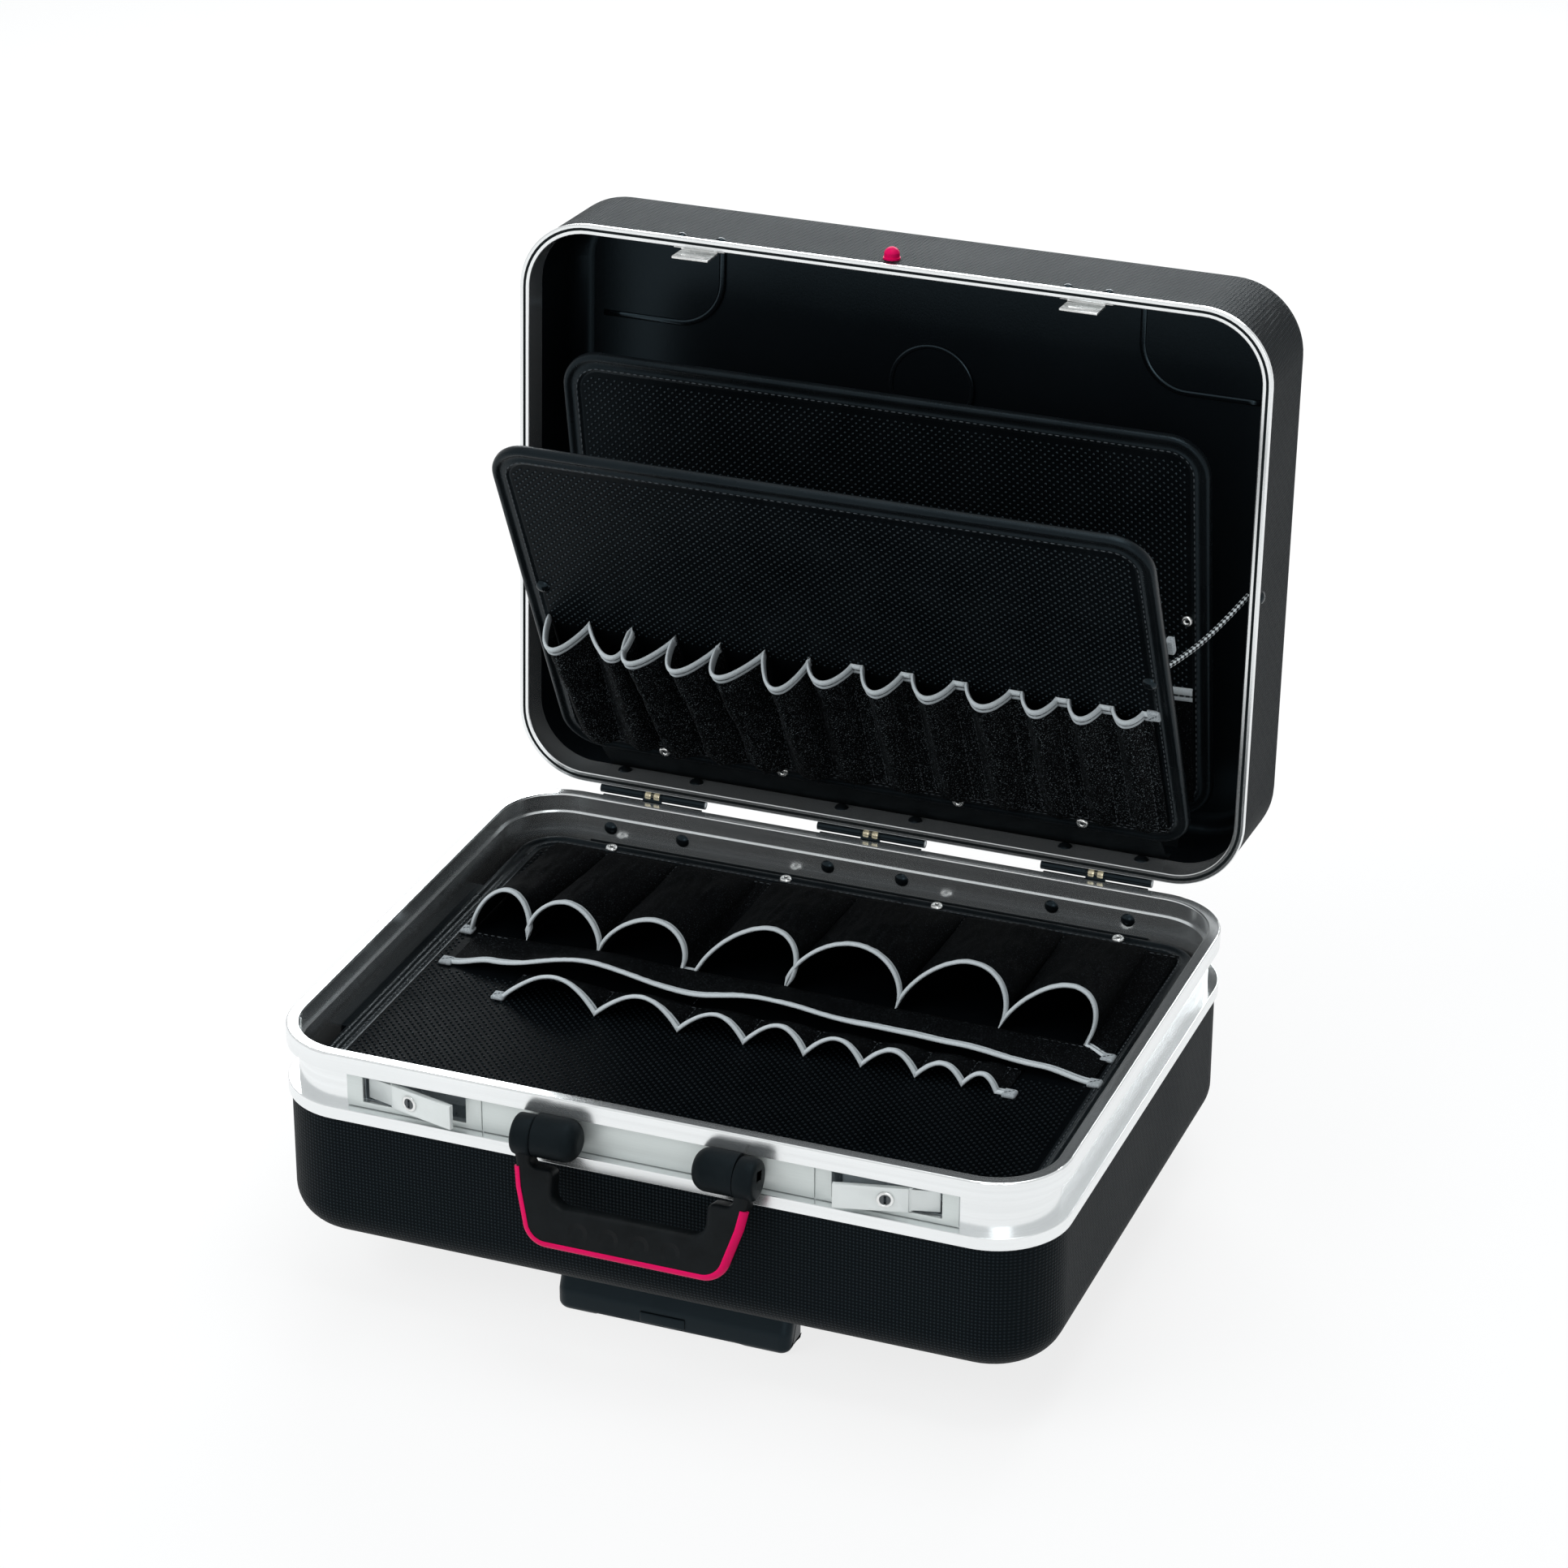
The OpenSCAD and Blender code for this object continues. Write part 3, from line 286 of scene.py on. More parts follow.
COOL = (0.58, 0.84, 1.0, 1.0)


def shell_material(name, pitch):
    material, tree, shader = new_material(name)
    coordinates, (x, y, z) = object_place(tree)
    spots = grain(tree, coordinates, 9, 4)
    if pitch:
        planes = [lattice(tree, a, b, pitch) for a, b in ((y, z), (x, z), (x, y))]
        diamonds = by_facing(tree, coordinates, *planes)
        lifted = spread(tree, diamonds, 0.0, 0.85)
        fine = math_node(tree, "MULTIPLY", grain(tree, coordinates, 700, 2), 0.25)
        bump(tree, shader, math_node(tree, "ADD", lifted, fine), 0.0007)
        link(tree, ramp(tree, spots, 0.50, 0.64), shader.inputs["Roughness"])
        # Colour follows the relief: lighter on the raised diamonds, a painted highlight, and darker in the grooves
        # between them, painted shade.
        tone = ramp(tree, lifted, (0.0008, 0.0014, 0.0019), (0.0145, 0.0205, 0.0245))
        shader.inputs["Specular IOR Level"].default_value = 0.08
    else:
        bump(tree, shader, grain(tree, coordinates, 900, 2), 0.00005)
        link(tree, ramp(tree, spots, 0.24, 0.36), shader.inputs["Roughness"])
        tone = ramp(tree, spots, (0.0022, 0.0030, 0.0038), (0.0045, 0.0060, 0.0075))
        shader.inputs["Specular IOR Level"].default_value = 0.24
    link(tree, tone, shader.inputs["Base Color"])
    shader.inputs["Specular Tint"].default_value = COOL
    return material


DIAMOND_PITCH = 0.00225
shell_outside = shell_material("pressed_black_plastic", DIAMOND_PITCH)
shell_inside = shell_material("satin_black_plastic", None)


def dress(node, *materials):
    piece = nodes[node]
    piece.data.materials.clear()
    for material in materials:
        piece.data.materials.append(material)
    return piece


def dress_shell(node, middle):
    """Pressed plastic outside; smooth plastic on every face that looks towards the middle."""
    piece = dress(node, shell_outside, shell_inside)
    for face in piece.data.polygons:
        inward = (middle - face.center).dot(face.normal) > 0
        face.material_index = 1 if inward else 0


base_low, base_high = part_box("base_shell")
lid_low, lid_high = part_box("lid_shell")
dress_shell("base_shell", Vector((0, 0, base_high.z)))
dress_shell("lid_shell", Vector((0, lid_low.y + 0.012, (lid_low.z + lid_high.z) / 2)))
for label, size in (("base", base_high - base_low), ("lid", lid_high - lid_low)):
    print(label, "shell size in mm:", [round(v * 1000) for v in size])

# %% [markdown]
# ## Metals
# The frame is a drawn aluminium section, matt anodised: it mirrors the pale studio softly, and a
# small share of scattered light keeps it from going black where it faces the lid. Drawing leaves
# long fine lines that run round the case with the section. They are a noise, stretched along the
# frame and squeezed across it; across means depth plus the distance in from the outline.

# %% Metal finishes
LINE_SCALES = (3, 3, 330)


def along_outline(tree, split, plane, depth_axis, corner, middle):
    """Fine lines that run round a rounded frame in a plane of two axes."""
    off_middle = math_node(tree, "SUBTRACT", split[plane[1]], middle)
    square = None
    for value, start in zip((split[plane[0]], off_middle), corner):
        past = math_node(tree, "SUBTRACT", math_node(tree, "ABSOLUTE", value), start)
        beyond = math_node(tree, "MAXIMUM", past, 0.0)
        part = math_node(tree, "MULTIPLY", beyond, beyond)
        square = part if square is None else math_node(tree, "ADD", square, part)
    across = math_node(tree, "ADD", math_node(tree, "SQRT", square), split[depth_axis])
    place = tree.nodes.new("ShaderNodeCombineXYZ")
    ways = (split[plane[0]], split[plane[1]], across)
    for socket, value, scale in zip(place.inputs, ways, LINE_SCALES):
        link(tree, math_node(tree, "MULTIPLY", value, scale), socket)
    node = tree.nodes.new("ShaderNodeTexNoise")
    node.inputs["Scale"].default_value = 1.0
    node.inputs["Detail"].default_value = 2.0
    link(tree, place.outputs[0], node.inputs["Vector"])
    return spread(tree, node.outputs["Fac"], 0.3, 0.7)


def metal(name, colour, roughness, metallic, stretch=(1, 1, 1), scale=300, outline=None, shift=0.12,
          depth=0.00002, edge=0.0006):
    material, tree, shader = new_material(name)
    coordinates, split = object_place(tree)
    if outline:
        streaks = along_outline(tree, split, *outline)
    else:
        streaks = spread(tree, grain(tree, coordinates, scale, 3, stretch), 0.3, 0.7)
    clouds = spread(tree, grain(tree, coordinates, 11, 3), 0.3, 0.7)
    shader.inputs["Metallic"].default_value = metallic
    link(tree, ramp(tree, streaks, roughness[0], roughness[1]), shader.inputs["Roughness"])
    lines = math_node(tree, "MULTIPLY", streaks, 0.7)
    mixed = math_node(tree, "ADD", lines, math_node(tree, "MULTIPLY", clouds, 0.3))
    darker = tuple(c * (1 - shift) for c in colour)
    link(tree, ramp(tree, mixed, darker, colour), shader.inputs["Base Color"])
    bump(tree, shader, streaks, depth, edge)
    return material


LID_MIDDLE = (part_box("lid_frame")[0].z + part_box("lid_frame")[1].z) / 2
CORNER_START = (0.199, 0.142)
ANODISED = ((0.90, 0.92, 0.925), (0.17, 0.24), 0.90)


def frame_finish(name, plane, depth_axis, middle):
    return metal(name, *ANODISED, outline=(plane, depth_axis, CORNER_START, middle), shift=0.10,
                 depth=0.000002, edge=0.0)


frame_metal = frame_finish("drawn_aluminium", (0, 1), 2, 0.0)
lid_frame_metal = frame_finish("drawn_aluminium_lid", (0, 2), 1, LID_MIDDLE)
plate_metal = metal("satin_grey_sheet", (0.66, 0.70, 0.685), (0.36, 0.48), 0.45, (0.05, 1, 6), shift=0.07)
lever_metal = metal("satin_cast_lever", (0.72, 0.75, 0.74), (0.34, 0.46), 0.45, scale=120, shift=0.06)
zinc_metal = metal("zinc_plate", (0.46, 0.52, 0.55), (0.2, 0.5), 0.8, scale=160, shift=0.35)
bright_metal = metal("bright_rivet", (0.86, 0.87, 0.86), (0.14, 0.28), 0.9, scale=240, shift=0.15)
brass_metal = metal("brass_sleeve", (0.78, 0.70, 0.50), (0.2, 0.34), 0.8, (0.1, 1, 1), shift=0.2)
tube_metal = metal("anodised_tube", (0.66, 0.675, 0.68), (0.26, 0.36), 0.7, (6, 0.05, 6), 150, shift=0.08)
lock_metal = metal("dark_lock_barrel", (0.10, 0.11, 0.115), (0.25, 0.4), 0.8, shift=0.3)

METAL_PIECES = (
    (frame_metal, "base_frame"),
    (lid_frame_metal, "lid_frame"),
    (plate_metal, "name_strip latch_plate_left latch_plate_right base_seam_plate"),
    (lever_metal, "latch_lever_left latch_lever_right"),
    (zinc_metal, "latch_case_left latch_case_right latch_hook_left latch_hook_right latch_pins"),
    (zinc_metal, "handle_pins hinge_pins wheel_axles"),
    (bright_metal, "keeper_left keeper_right front_board_rivets base_board_rivets rear_board_rivets"),
    (tube_metal, "trolley_outer_tubes trolley_middle_tubes trolley_inner_tubes"),
    (lock_metal, "lock_left lock_right"))


def dress_all(pairs):
    for material, names in pairs:
        for node in names.split():
            dress(node, material)


dress_all(METAL_PIECES)
print("metal pieces dressed")

# %% [markdown]
# ## Small black and crimson mouldings
# Hinge leaves, rivet heads and the trolley are glossy black plastic or painted steel, the handle
# is a softer, matt rubber-like plastic, and two small pieces are crimson.

# %% Plastics and rubber
def plastic(name, low, high, roughness, scale=40, depth=0.00003, bump_scale=700, gloss=0.25, edge=0.0):
    material, tree, shader = new_material(name)
    coordinates, _ = object_place(tree)
    clouds = spread(tree, grain(tree, coordinates, scale, 4), 0.25, 0.75)
    link(tree, ramp(tree, clouds, low, high), shader.inputs["Base Color"])
    link(tree, ramp(tree, clouds, roughness[0], roughness[1]), shader.inputs["Roughness"])
    bump(tree, shader, grain(tree, coordinates, bump_scale, 3), depth, edge)
    shader.inputs["Specular IOR Level"].default_value = gloss
    shader.inputs["Specular Tint"].default_value = COOL
    return material


black_gloss = plastic("black_lacquer", (0.002, 0.0028, 0.0032), (0.005, 0.006, 0.007), (0.14, 0.26),
                      gloss=0.3, edge=0.0004)
black_moulded = plastic("black_moulded", (0.0022, 0.0033, 0.0040), (0.0050, 0.0068, 0.0080), (0.28, 0.40),
                        30, 0.00008, 500, gloss=0.24, edge=0.0008)
SOFT_TOUCH = (0.0020, 0.0028, 0.0032), (0.0058, 0.0074, 0.0084)
soft_touch = plastic("soft_touch_black", *SOFT_TOUCH, (0.42, 0.6), 60, 0.00016, 420, gloss=0.1)
crimson = plastic("crimson_plastic", (0.60, 0.002, 0.080), (0.70, 0.004, 0.105), (0.40, 0.52), 30, gloss=0.1)
rubber = plastic("black_rubber", (0.004, 0.005, 0.005), (0.009, 0.010, 0.010), (0.6, 0.75), gloss=0.15)
wheel_rubber = plastic("wheel_rubber", (0.006, 0.007, 0.007), (0.016, 0.016, 0.016), (0.45, 0.7), 50,
                       0.0001, 260)

dress_all((
    (black_gloss, "hinge_base_leaves hinge_lid_leaves base_hinge_rivets lid_hinge_rivets keeper_rivets"),
    (black_gloss, "cord_screws front_board_studs"),
    (black_moulded, "trolley_housing trolley_grip trolley_button wheel_brackets board_ledges"),
    (soft_touch, "handle_brackets handle_grip"),
    (crimson, "handle_stripe lid_buffer"),
    (rubber, "lid_seal"),
    (wheel_rubber, "wheel_left wheel_right")))
print("moulded pieces dressed")

# %% [markdown]
# ## Cloth, imitation leather, tape and thread
# The boards are covered with imitation leather, the pockets are woven nylon and their edges are
# bound with silver-grey tape. Cloth shows its weave only close up, as two crossed waves about
# half a millimetre apart, broken up by noise. From further off, it is the pale flecks of single
# fibres on dark cloth that tell, so the noise is cut off high, to leave few and bright spots.

# %% Soft finishes
def leather(name, gloss, roughness, low, high):
    material, tree, shader = new_material(name)
    coordinates, _ = object_place(tree)
    cells = tree.nodes.new("ShaderNodeTexVoronoi")
    cells.inputs["Scale"].default_value = 1500
    link(tree, coordinates.outputs["Object"], cells.inputs["Vector"])
    clouds = spread(tree, grain(tree, coordinates, 25, 4), 0.25, 0.75)
    bump(tree, shader, cells.outputs["Distance"], 0.00009)
    link(tree, ramp(tree, clouds, low, high), shader.inputs["Base Color"])
    link(tree, ramp(tree, clouds, roughness[0], roughness[1]), shader.inputs["Roughness"])
    shader.inputs["Specular IOR Level"].default_value = gloss
    shader.inputs["Specular Tint"].default_value = COOL
    return material


def cloth(name, low, high, pitch, roughness=0.85, sheen=0.05, depth=0.0002, fleck=(0.52, 0.72)):
    """Woven cloth. The weave runs in the piece's own UV map, so it follows every fold."""
    material, tree, shader = new_material(name)
    coordinates, _ = object_place(tree)
    split = tree.nodes.new("ShaderNodeSeparateXYZ")
    link(tree, coordinates.outputs["UV"], split.inputs[0])
    k = math.pi / pitch
    warp = math_node(tree, "SINE", math_node(tree, "MULTIPLY", split.outputs[0], k))
    weft = math_node(tree, "SINE", math_node(tree, "MULTIPLY", split.outputs[1], k))
    weave = math_node(tree, "MULTIPLY", warp, weft)
    fuzz = grain(tree, coordinates, 1150, 2)
    clouds = spread(tree, grain(tree, coordinates, 40, 4), 0.3, 0.7)
    flecks = spread(tree, fuzz, *fleck)
    bump(tree, shader, math_node(tree, "ADD", math_node(tree, "MULTIPLY", weave, 0.5), fuzz), depth)
    share = math_node(tree, "ADD", math_node(tree, "MULTIPLY", clouds, 0.5), 0.5)
    tone = math_node(tree, "MULTIPLY", flecks, share)
    link(tree, ramp(tree, tone, low, high), shader.inputs["Base Color"])
    shader.inputs["Roughness"].default_value = roughness
    shader.inputs["Sheen Weight"].default_value = sheen
    shader.inputs["Sheen Roughness"].default_value = 0.4
    shader.inputs["Specular IOR Level"].default_value = 0.05
    return material


board_leather = leather("imitation_leather", 0.05, (0.28, 0.40), (0.0014, 0.0020, 0.0026),
                        (0.0034, 0.0044, 0.0052))
# The rim's leather is coloured lighter than the middle's: painted highlight on the rolled edge.
rim_leather = leather("rim_leather", 0.16, (0.22, 0.32), (0.0030, 0.0040, 0.0048), (0.0062, 0.0078, 0.0090))
# The dots are coloured lighter than the leather round them, which is painted highlight; their higher gloss is
# their own.
dot_leather = leather("dot_leather", 0.42, (0.20, 0.28), (0.0040, 0.0052, 0.0062), (0.0085, 0.0104, 0.0118))
# Darker copies of the leather and its dots for the base board: painted shade of the open base.
base_leather_painted_shade = leather("base_leather_painted_shade", 0.015, (0.34, 0.46), (0.0008, 0.0012, 0.0016),
                       (0.0018, 0.0024, 0.0030))
base_dot_leather_painted_shade = leather("base_dot_leather_painted_shade", 0.13, (0.26, 0.34), (0.0020, 0.0028, 0.0034),
                           (0.0040, 0.0052, 0.0062))
pocket_cloth = cloth("woven_nylon", (0.0004, 0.0007, 0.0010), (0.060, 0.071, 0.079), 0.0009, 0.8, 0.0,
                     0.0001, (0.60, 0.74))
# The lid's copy of the pocket cloth has far brighter flecks: the flecks are fibres, and their extra brightness is
# painted highlight on the lit folds.
lid_cloth_painted_highlight = cloth("nylon_with_painted_highlight", (0.0004, 0.0007, 0.0010), (0.21, 0.245, 0.265), 0.0009, 0.8, 0.0,
                     0.0001, (0.58, 0.72))
FURROW = 0.0044
DASH_PITCH = 0.0038


def tape(name, front, back, furrow):
    """Bound edge: a painted highlight where it rolls over, then a furrow with painted shade and dark stitch
    dashes, then a duller ridge.
    """
    material, tree, shader = new_material(name)
    coordinates, _ = object_place(tree)
    split = tree.nodes.new("ShaderNodeSeparateXYZ")
    link(tree, coordinates.outputs["UV"], split.inputs[0])
    along, across = split.outputs[0], split.outputs[1]
    near = math_node(tree, "ABSOLUTE", math_node(tree, "SUBTRACT", across, FURROW))
    # The furrow is darkened along its whole length, which is painted shade, and darker still at the dashes, which
    # are thread.
    in_furrow = math_node(tree, "SUBTRACT", 1.0, spread(tree, near, 0.0005, 0.0010))
    wave = math_node(tree, "SINE", math_node(tree, "MULTIPLY", along, 2 * math.pi / DASH_PITCH))
    dashes = math_node(tree, "MULTIPLY", spread(tree, wave, -0.7, -0.3), 0.45)
    sewn = math_node(tree, "MULTIPLY", in_furrow, math_node(tree, "ADD", dashes, 0.55))
    fuzz = spread(tree, grain(tree, coordinates, 1500, 3), 0.3, 0.7)
    # The roll takes the lighter colour, a painted highlight, and the ridge behind it the duller one.
    rear = spread(tree, across, 0.0042, 0.0050)
    tone = ramp(tree, rear, front, back)
    worn = tree.nodes.new("ShaderNodeMix")
    worn.data_type = "RGBA"
    worn.blend_type = "MULTIPLY"
    link(tree, math_node(tree, "MULTIPLY", fuzz, 0.35), worn.inputs[0])
    link(tree, tone, worn.inputs[6])
    worn.inputs[7].default_value = (0.45, 0.45, 0.45, 1)
    final = tree.nodes.new("ShaderNodeMix")
    final.data_type = "RGBA"
    link(tree, sewn, final.inputs[0])
    link(tree, worn.outputs[2], final.inputs[6])
    final.inputs[7].default_value = (*furrow, 1)
    link(tree, final.outputs[2], shader.inputs["Base Color"])
    shader.inputs["Roughness"].default_value = 0.7
    shader.inputs["Specular IOR Level"].default_value = 0.2
    bump(tree, shader, fuzz, 0.0001)
    return material


# Colours: the roll with painted highlight, the duller ridge, and the furrow's painted shade and thread.
binding_tape = tape("bound_silver_tape", (0.56, 0.60, 0.62), (0.44, 0.475, 0.495), (0.004, 0.006, 0.008))
tape_cloth = cloth("silver_tape", (0.25, 0.275, 0.29), (0.45, 0.48, 0.50), 0.0007, 0.7, 0.1, 0.0001,
                   (0.35, 0.65))
strap_cloth = plastic("strap_webbing", (0.003, 0.0036, 0.004), (0.010, 0.0115, 0.0125), (0.7, 0.9), 90,
                      0.0002, 900, 0.12)
dark_thread = plastic("dark_thread", (0.003, 0.004, 0.005), (0.009, 0.011, 0.013), (0.55, 0.75), 400)
grey_thread = plastic("grey_thread", (0.030, 0.034, 0.038), (0.075, 0.082, 0.088), (0.5, 0.7), 400)
for node in ("base_board_strap", "front_board_strap", "rear_board_strap"):
    dress(node, strap_cloth)
print("soft finishes ready")

# %% [markdown]
# ## Where the boards lie
# A board is easier to build lying flat: u across it, v from its hinge up to its free edge and w
# out of its face. One matrix for each board then carries everything on it, such as its cover,
# pockets and stitches, to its leaning place in the open lid.

# %% Board places
LID_OPEN, FRONT_LEAN, REAR_LEAN = -93.2, 28.2, 12.3
BOARD_T = 0.004


def board_place(point, angle):
    a = math.radians(angle)
    along = Vector((0, -math.cos(a), -math.sin(a)))
    out = Vector((0, math.sin(a), -math.cos(a)))
    origin = Vector(point) + out * (BOARD_T / 2)
    m = Matrix.Identity(4)
    for i, column in enumerate((Vector((1, 0, 0)), along, out, origin)):
        for k in range(3):
            m[k][i] = column[k]
    return m


front_place = board_place(joint["front_board_fold"]["pos_m"], LID_OPEN + FRONT_LEAN)
rear_place = board_place(joint["rear_board_fold"]["pos_m"], LID_OPEN + REAR_LEAN)
base_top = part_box("base_board")[1].z
base_place = Matrix.Translation((0, 0, base_top))
print("board faces lean", LID_OPEN + FRONT_LEAN, LID_OPEN + REAR_LEAN, "degrees")

# %% [markdown]
# ## One tool for everything that repeats
# Stitches, raised dots and rivet heads are all one small rounded form, copied to many points.
# A Geometry Nodes tree does that: each point carries the direction that its copy faces and the
# direction that it lies along. Changing three sizes turns a dot into a stitch. The result is
# made real and turned into a plain mesh, because copies are dropped on export.

# %% Geometry Nodes tree that places rounded copies
def copies_tree():
    tree = bpy.data.node_groups.new("rounded_copies", "GeometryNodeTree")
    face = tree.interface
    face.new_socket("Points", in_out="INPUT", socket_type="NodeSocketGeometry")
    for name, value in (("Length", 0.002), ("Width", 0.002), ("Height", 0.001)):
        face.new_socket(name, in_out="INPUT", socket_type="NodeSocketFloat").default_value = value
    for name, value in (("Sides", 8), ("Rings", 5)):
        face.new_socket(name, in_out="INPUT", socket_type="NodeSocketInt").default_value = value
    face.new_socket("Uneven", in_out="INPUT", socket_type="NodeSocketFloat").default_value = 0.0
    face.new_socket("Seed", in_out="INPUT", socket_type="NodeSocketInt").default_value = 1
    face.new_socket("Material", in_out="INPUT", socket_type="NodeSocketMaterial")
    face.new_socket("Geometry", in_out="OUTPUT", socket_type="NodeSocketGeometry")
    add = tree.nodes.new
    source, result = add("NodeGroupInput"), add("NodeGroupOutput")
    ball = add("GeometryNodeMeshUVSphere")
    ball.inputs["Radius"].default_value = 0.5
    size = add("ShaderNodeCombineXYZ")
    shape = add("GeometryNodeTransform")
    facing, along = add("GeometryNodeInputNamedAttribute"), add("GeometryNodeInputNamedAttribute")
    facing.data_type = along.data_type = "FLOAT_VECTOR"
    facing.inputs["Name"].default_value = "facing"
    along.inputs["Name"].default_value = "along"
    stand, lay = add("FunctionNodeAlignRotationToVector"), add("FunctionNodeAlignRotationToVector")
    stand.axis, lay.axis, lay.pivot_axis = "Z", "X", "Z"
    place = add("GeometryNodeInstanceOnPoints")
    chance = add("FunctionNodeRandomValue")
    chance.data_type = "FLOAT"
    low, high = add("ShaderNodeMath"), add("ShaderNodeMath")
    low.operation, high.operation = "SUBTRACT", "ADD"
    low.inputs[0].default_value = high.inputs[0].default_value = 1.0
    real, paint = add("GeometryNodeRealizeInstances"), add("GeometryNodeSetMaterial")
    pairs = [
        (source.outputs["Sides"], ball.inputs["Segments"]), (source.outputs["Rings"], ball.inputs["Rings"]),
        (source.outputs["Length"], size.inputs[0]), (source.outputs["Width"], size.inputs[1]),
        (source.outputs["Height"], size.inputs[2]), (ball.outputs["Mesh"], shape.inputs["Geometry"]),
        (size.outputs[0], shape.inputs["Scale"]), (source.outputs["Points"], place.inputs["Points"]),
        (shape.outputs[0], place.inputs["Instance"]), (facing.outputs["Attribute"], stand.inputs["Vector"]),
        (stand.outputs[0], lay.inputs["Rotation"]), (along.outputs["Attribute"], lay.inputs["Vector"]),
        (lay.outputs[0], place.inputs["Rotation"]), (source.outputs["Uneven"], low.inputs[1]),
        (source.outputs["Uneven"], high.inputs[1]), (low.outputs[0], chance.inputs[2]),
        (high.outputs[0], chance.inputs[3]), (source.outputs["Seed"], chance.inputs["Seed"]),
        (chance.outputs[1], place.inputs["Scale"]), (place.outputs[0], real.inputs[0]),
        (real.outputs[0], paint.inputs["Geometry"]), (source.outputs["Material"], paint.inputs["Material"]),
        (paint.outputs[0], result.inputs[0])]
    for a, b in pairs:
        tree.links.new(a, b)
    return tree


COPIES = copies_tree()


def place_copies(name, points, facing, along, size, material, body, sides=8, rings=5, uneven=0.0, seed=1):
    """points, facing and along are lists of places and directions in the row frame, in metres."""
    mesh = bpy.data.meshes.new(name + "_points")
    mesh.from_pydata([tuple(p) for p in points], [], [])
    for label, values in (("facing", facing), ("along", along)):
        layer = mesh.attributes.new(label, "FLOAT_VECTOR", "POINT")
        layer.data.foreach_set("vector", np.array([tuple(v) for v in values], np.float32).ravel())
    holder = bpy.data.objects.new(name + "_holder", mesh)
    bpy.context.scene.collection.objects.link(holder)
    modifier = holder.modifiers.new("copies", "NODES")
    modifier.node_group = COPIES
    settings = {"Length": size[0], "Width": size[1], "Height": size[2], "Sides": sides, "Rings": rings,
                "Uneven": uneven, "Seed": seed, "Material": material}
    for item in COPIES.interface.items_tree:
        if item.in_out == "INPUT" and item.name in settings:
            modifier[item.identifier] = settings[item.name]
    evaluated = holder.evaluated_get(bpy.context.evaluated_depsgraph_get())
    made = bpy.data.meshes.new_from_object(evaluated)
    made.name = name
    piece = bpy.data.objects.new(name, made)
    bpy.context.scene.collection.objects.link(piece)
    bpy.data.objects.remove(holder)
    for face in made.polygons:
        face.use_smooth = True
    if not made.materials:
        made.materials.append(material)
    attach(piece, body)
    return piece


# %% Helpers for meshes
def new_piece(name, vertices, faces, material, smooth=True, uv=None):
    mesh = bpy.data.meshes.new(name)
    mesh.from_pydata([tuple(v) for v in vertices], [], [tuple(f) for f in faces])
    if uv is not None:
        layer = mesh.uv_layers.new(name="surface")
        for loop in mesh.loops:
            layer.data[loop.index].uv = uv[loop.vertex_index]
    for face in mesh.polygons:
        face.use_smooth = smooth
    mesh.materials.append(material)
    piece = bpy.data.objects.new(name, mesh)
    bpy.context.scene.collection.objects.link(piece)
    return piece


def outward(piece, merge=0.00001):
    """Merges doubles and turns every face outwards."""
    work = bmesh.new()
    work.from_mesh(piece.data)
    bmesh.ops.remove_doubles(work, verts=work.verts, dist=merge)
    bmesh.ops.recalc_face_normals(work, faces=work.faces)
    work.to_mesh(piece.data)
    work.free()
    return piece


def grid_faces(rows, columns, wrap_rows=False, wrap_columns=True, first=0):
    """Quads between rows of points. Rows and columns may each close on themselves."""
    down = rows if wrap_rows else rows - 1
    across = columns if wrap_columns else columns - 1
    faces = []
    for r in range(down):
        here, below = first + r * columns, first + (r + 1) % rows * columns
        faces += [(here + k, here + (k + 1) % columns, below + (k + 1) % columns, below + k)
                  for k in range(across)]
    return faces


def end_caps(rows, columns, first=0):
    """One many-sided face on the first row and one on the last."""
    last = first + (rows - 1) * columns
    return [tuple(range(first, first + columns)), tuple(reversed(range(last, last + columns)))]


def side_caps(rows, columns):
    """The same for rows that run along a strip: one face at each end of the strip."""
    return [tuple(r * columns for r in range(rows)),
            tuple(r * columns + columns - 1 for r in reversed(range(rows)))]


def hand_over(piece, body, node=None, sharp=None):
    """Gives a piece its body, and sharp shading past an angle if one is given. It takes the place of the solid
    node, if one is named.
    """
    if sharp:
        piece.data.set_sharp_from_angle(angle=math.radians(sharp))
    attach(piece, body)
    if node:
        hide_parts(node)
    return piece


ARC_STEPS = 12


def rounded_path(half, low, high, radius, inset, step=0.006):
    """Points round a rounded rectangle, as many for every inset."""
    r = max(radius - inset, 0.0005)
    points = []
    corners = [(half - radius, low + radius, -90), (half - radius, high - radius, 0),
               (-half + radius, high - radius, 90), (-half + radius, low + radius, 180)]
    for i, (cx, cy, start) in enumerate(corners):
        for k in range(ARC_STEPS + 1):
            a = math.radians(start + 90 * k / ARC_STEPS)
            points.append((cx + r * math.cos(a), cy + r * math.sin(a)))
        nx, ny = corners[(i + 1) % 4][:2]
        a = math.radians(start + 90)
        p0 = (cx + r * math.cos(a), cy + r * math.sin(a))
        p1 = (nx + r * math.cos(a), ny + r * math.sin(a))
        count = max(2, int(math.dist((cx, cy), (nx, ny)) / step))
        for k in range(1, count):
            t = k / count
            points.append((p0[0] + (p1[0] - p0[0]) * t, p0[1] + (p1[1] - p0[1]) * t))
    return points


print("tools ready")

# %% [markdown]
# ## Tool boards
# Each board is a stiff panel wrapped in imitation leather. The wrap is rolled round the edge and
# sewn down inside a second, lower welt. It is built as rings round one outline, each ring a
# little further in and higher or lower, which gives the rim a true section all the way round:
# an outer roll, a furrow, the welt with its stitches, and then the flat middle.

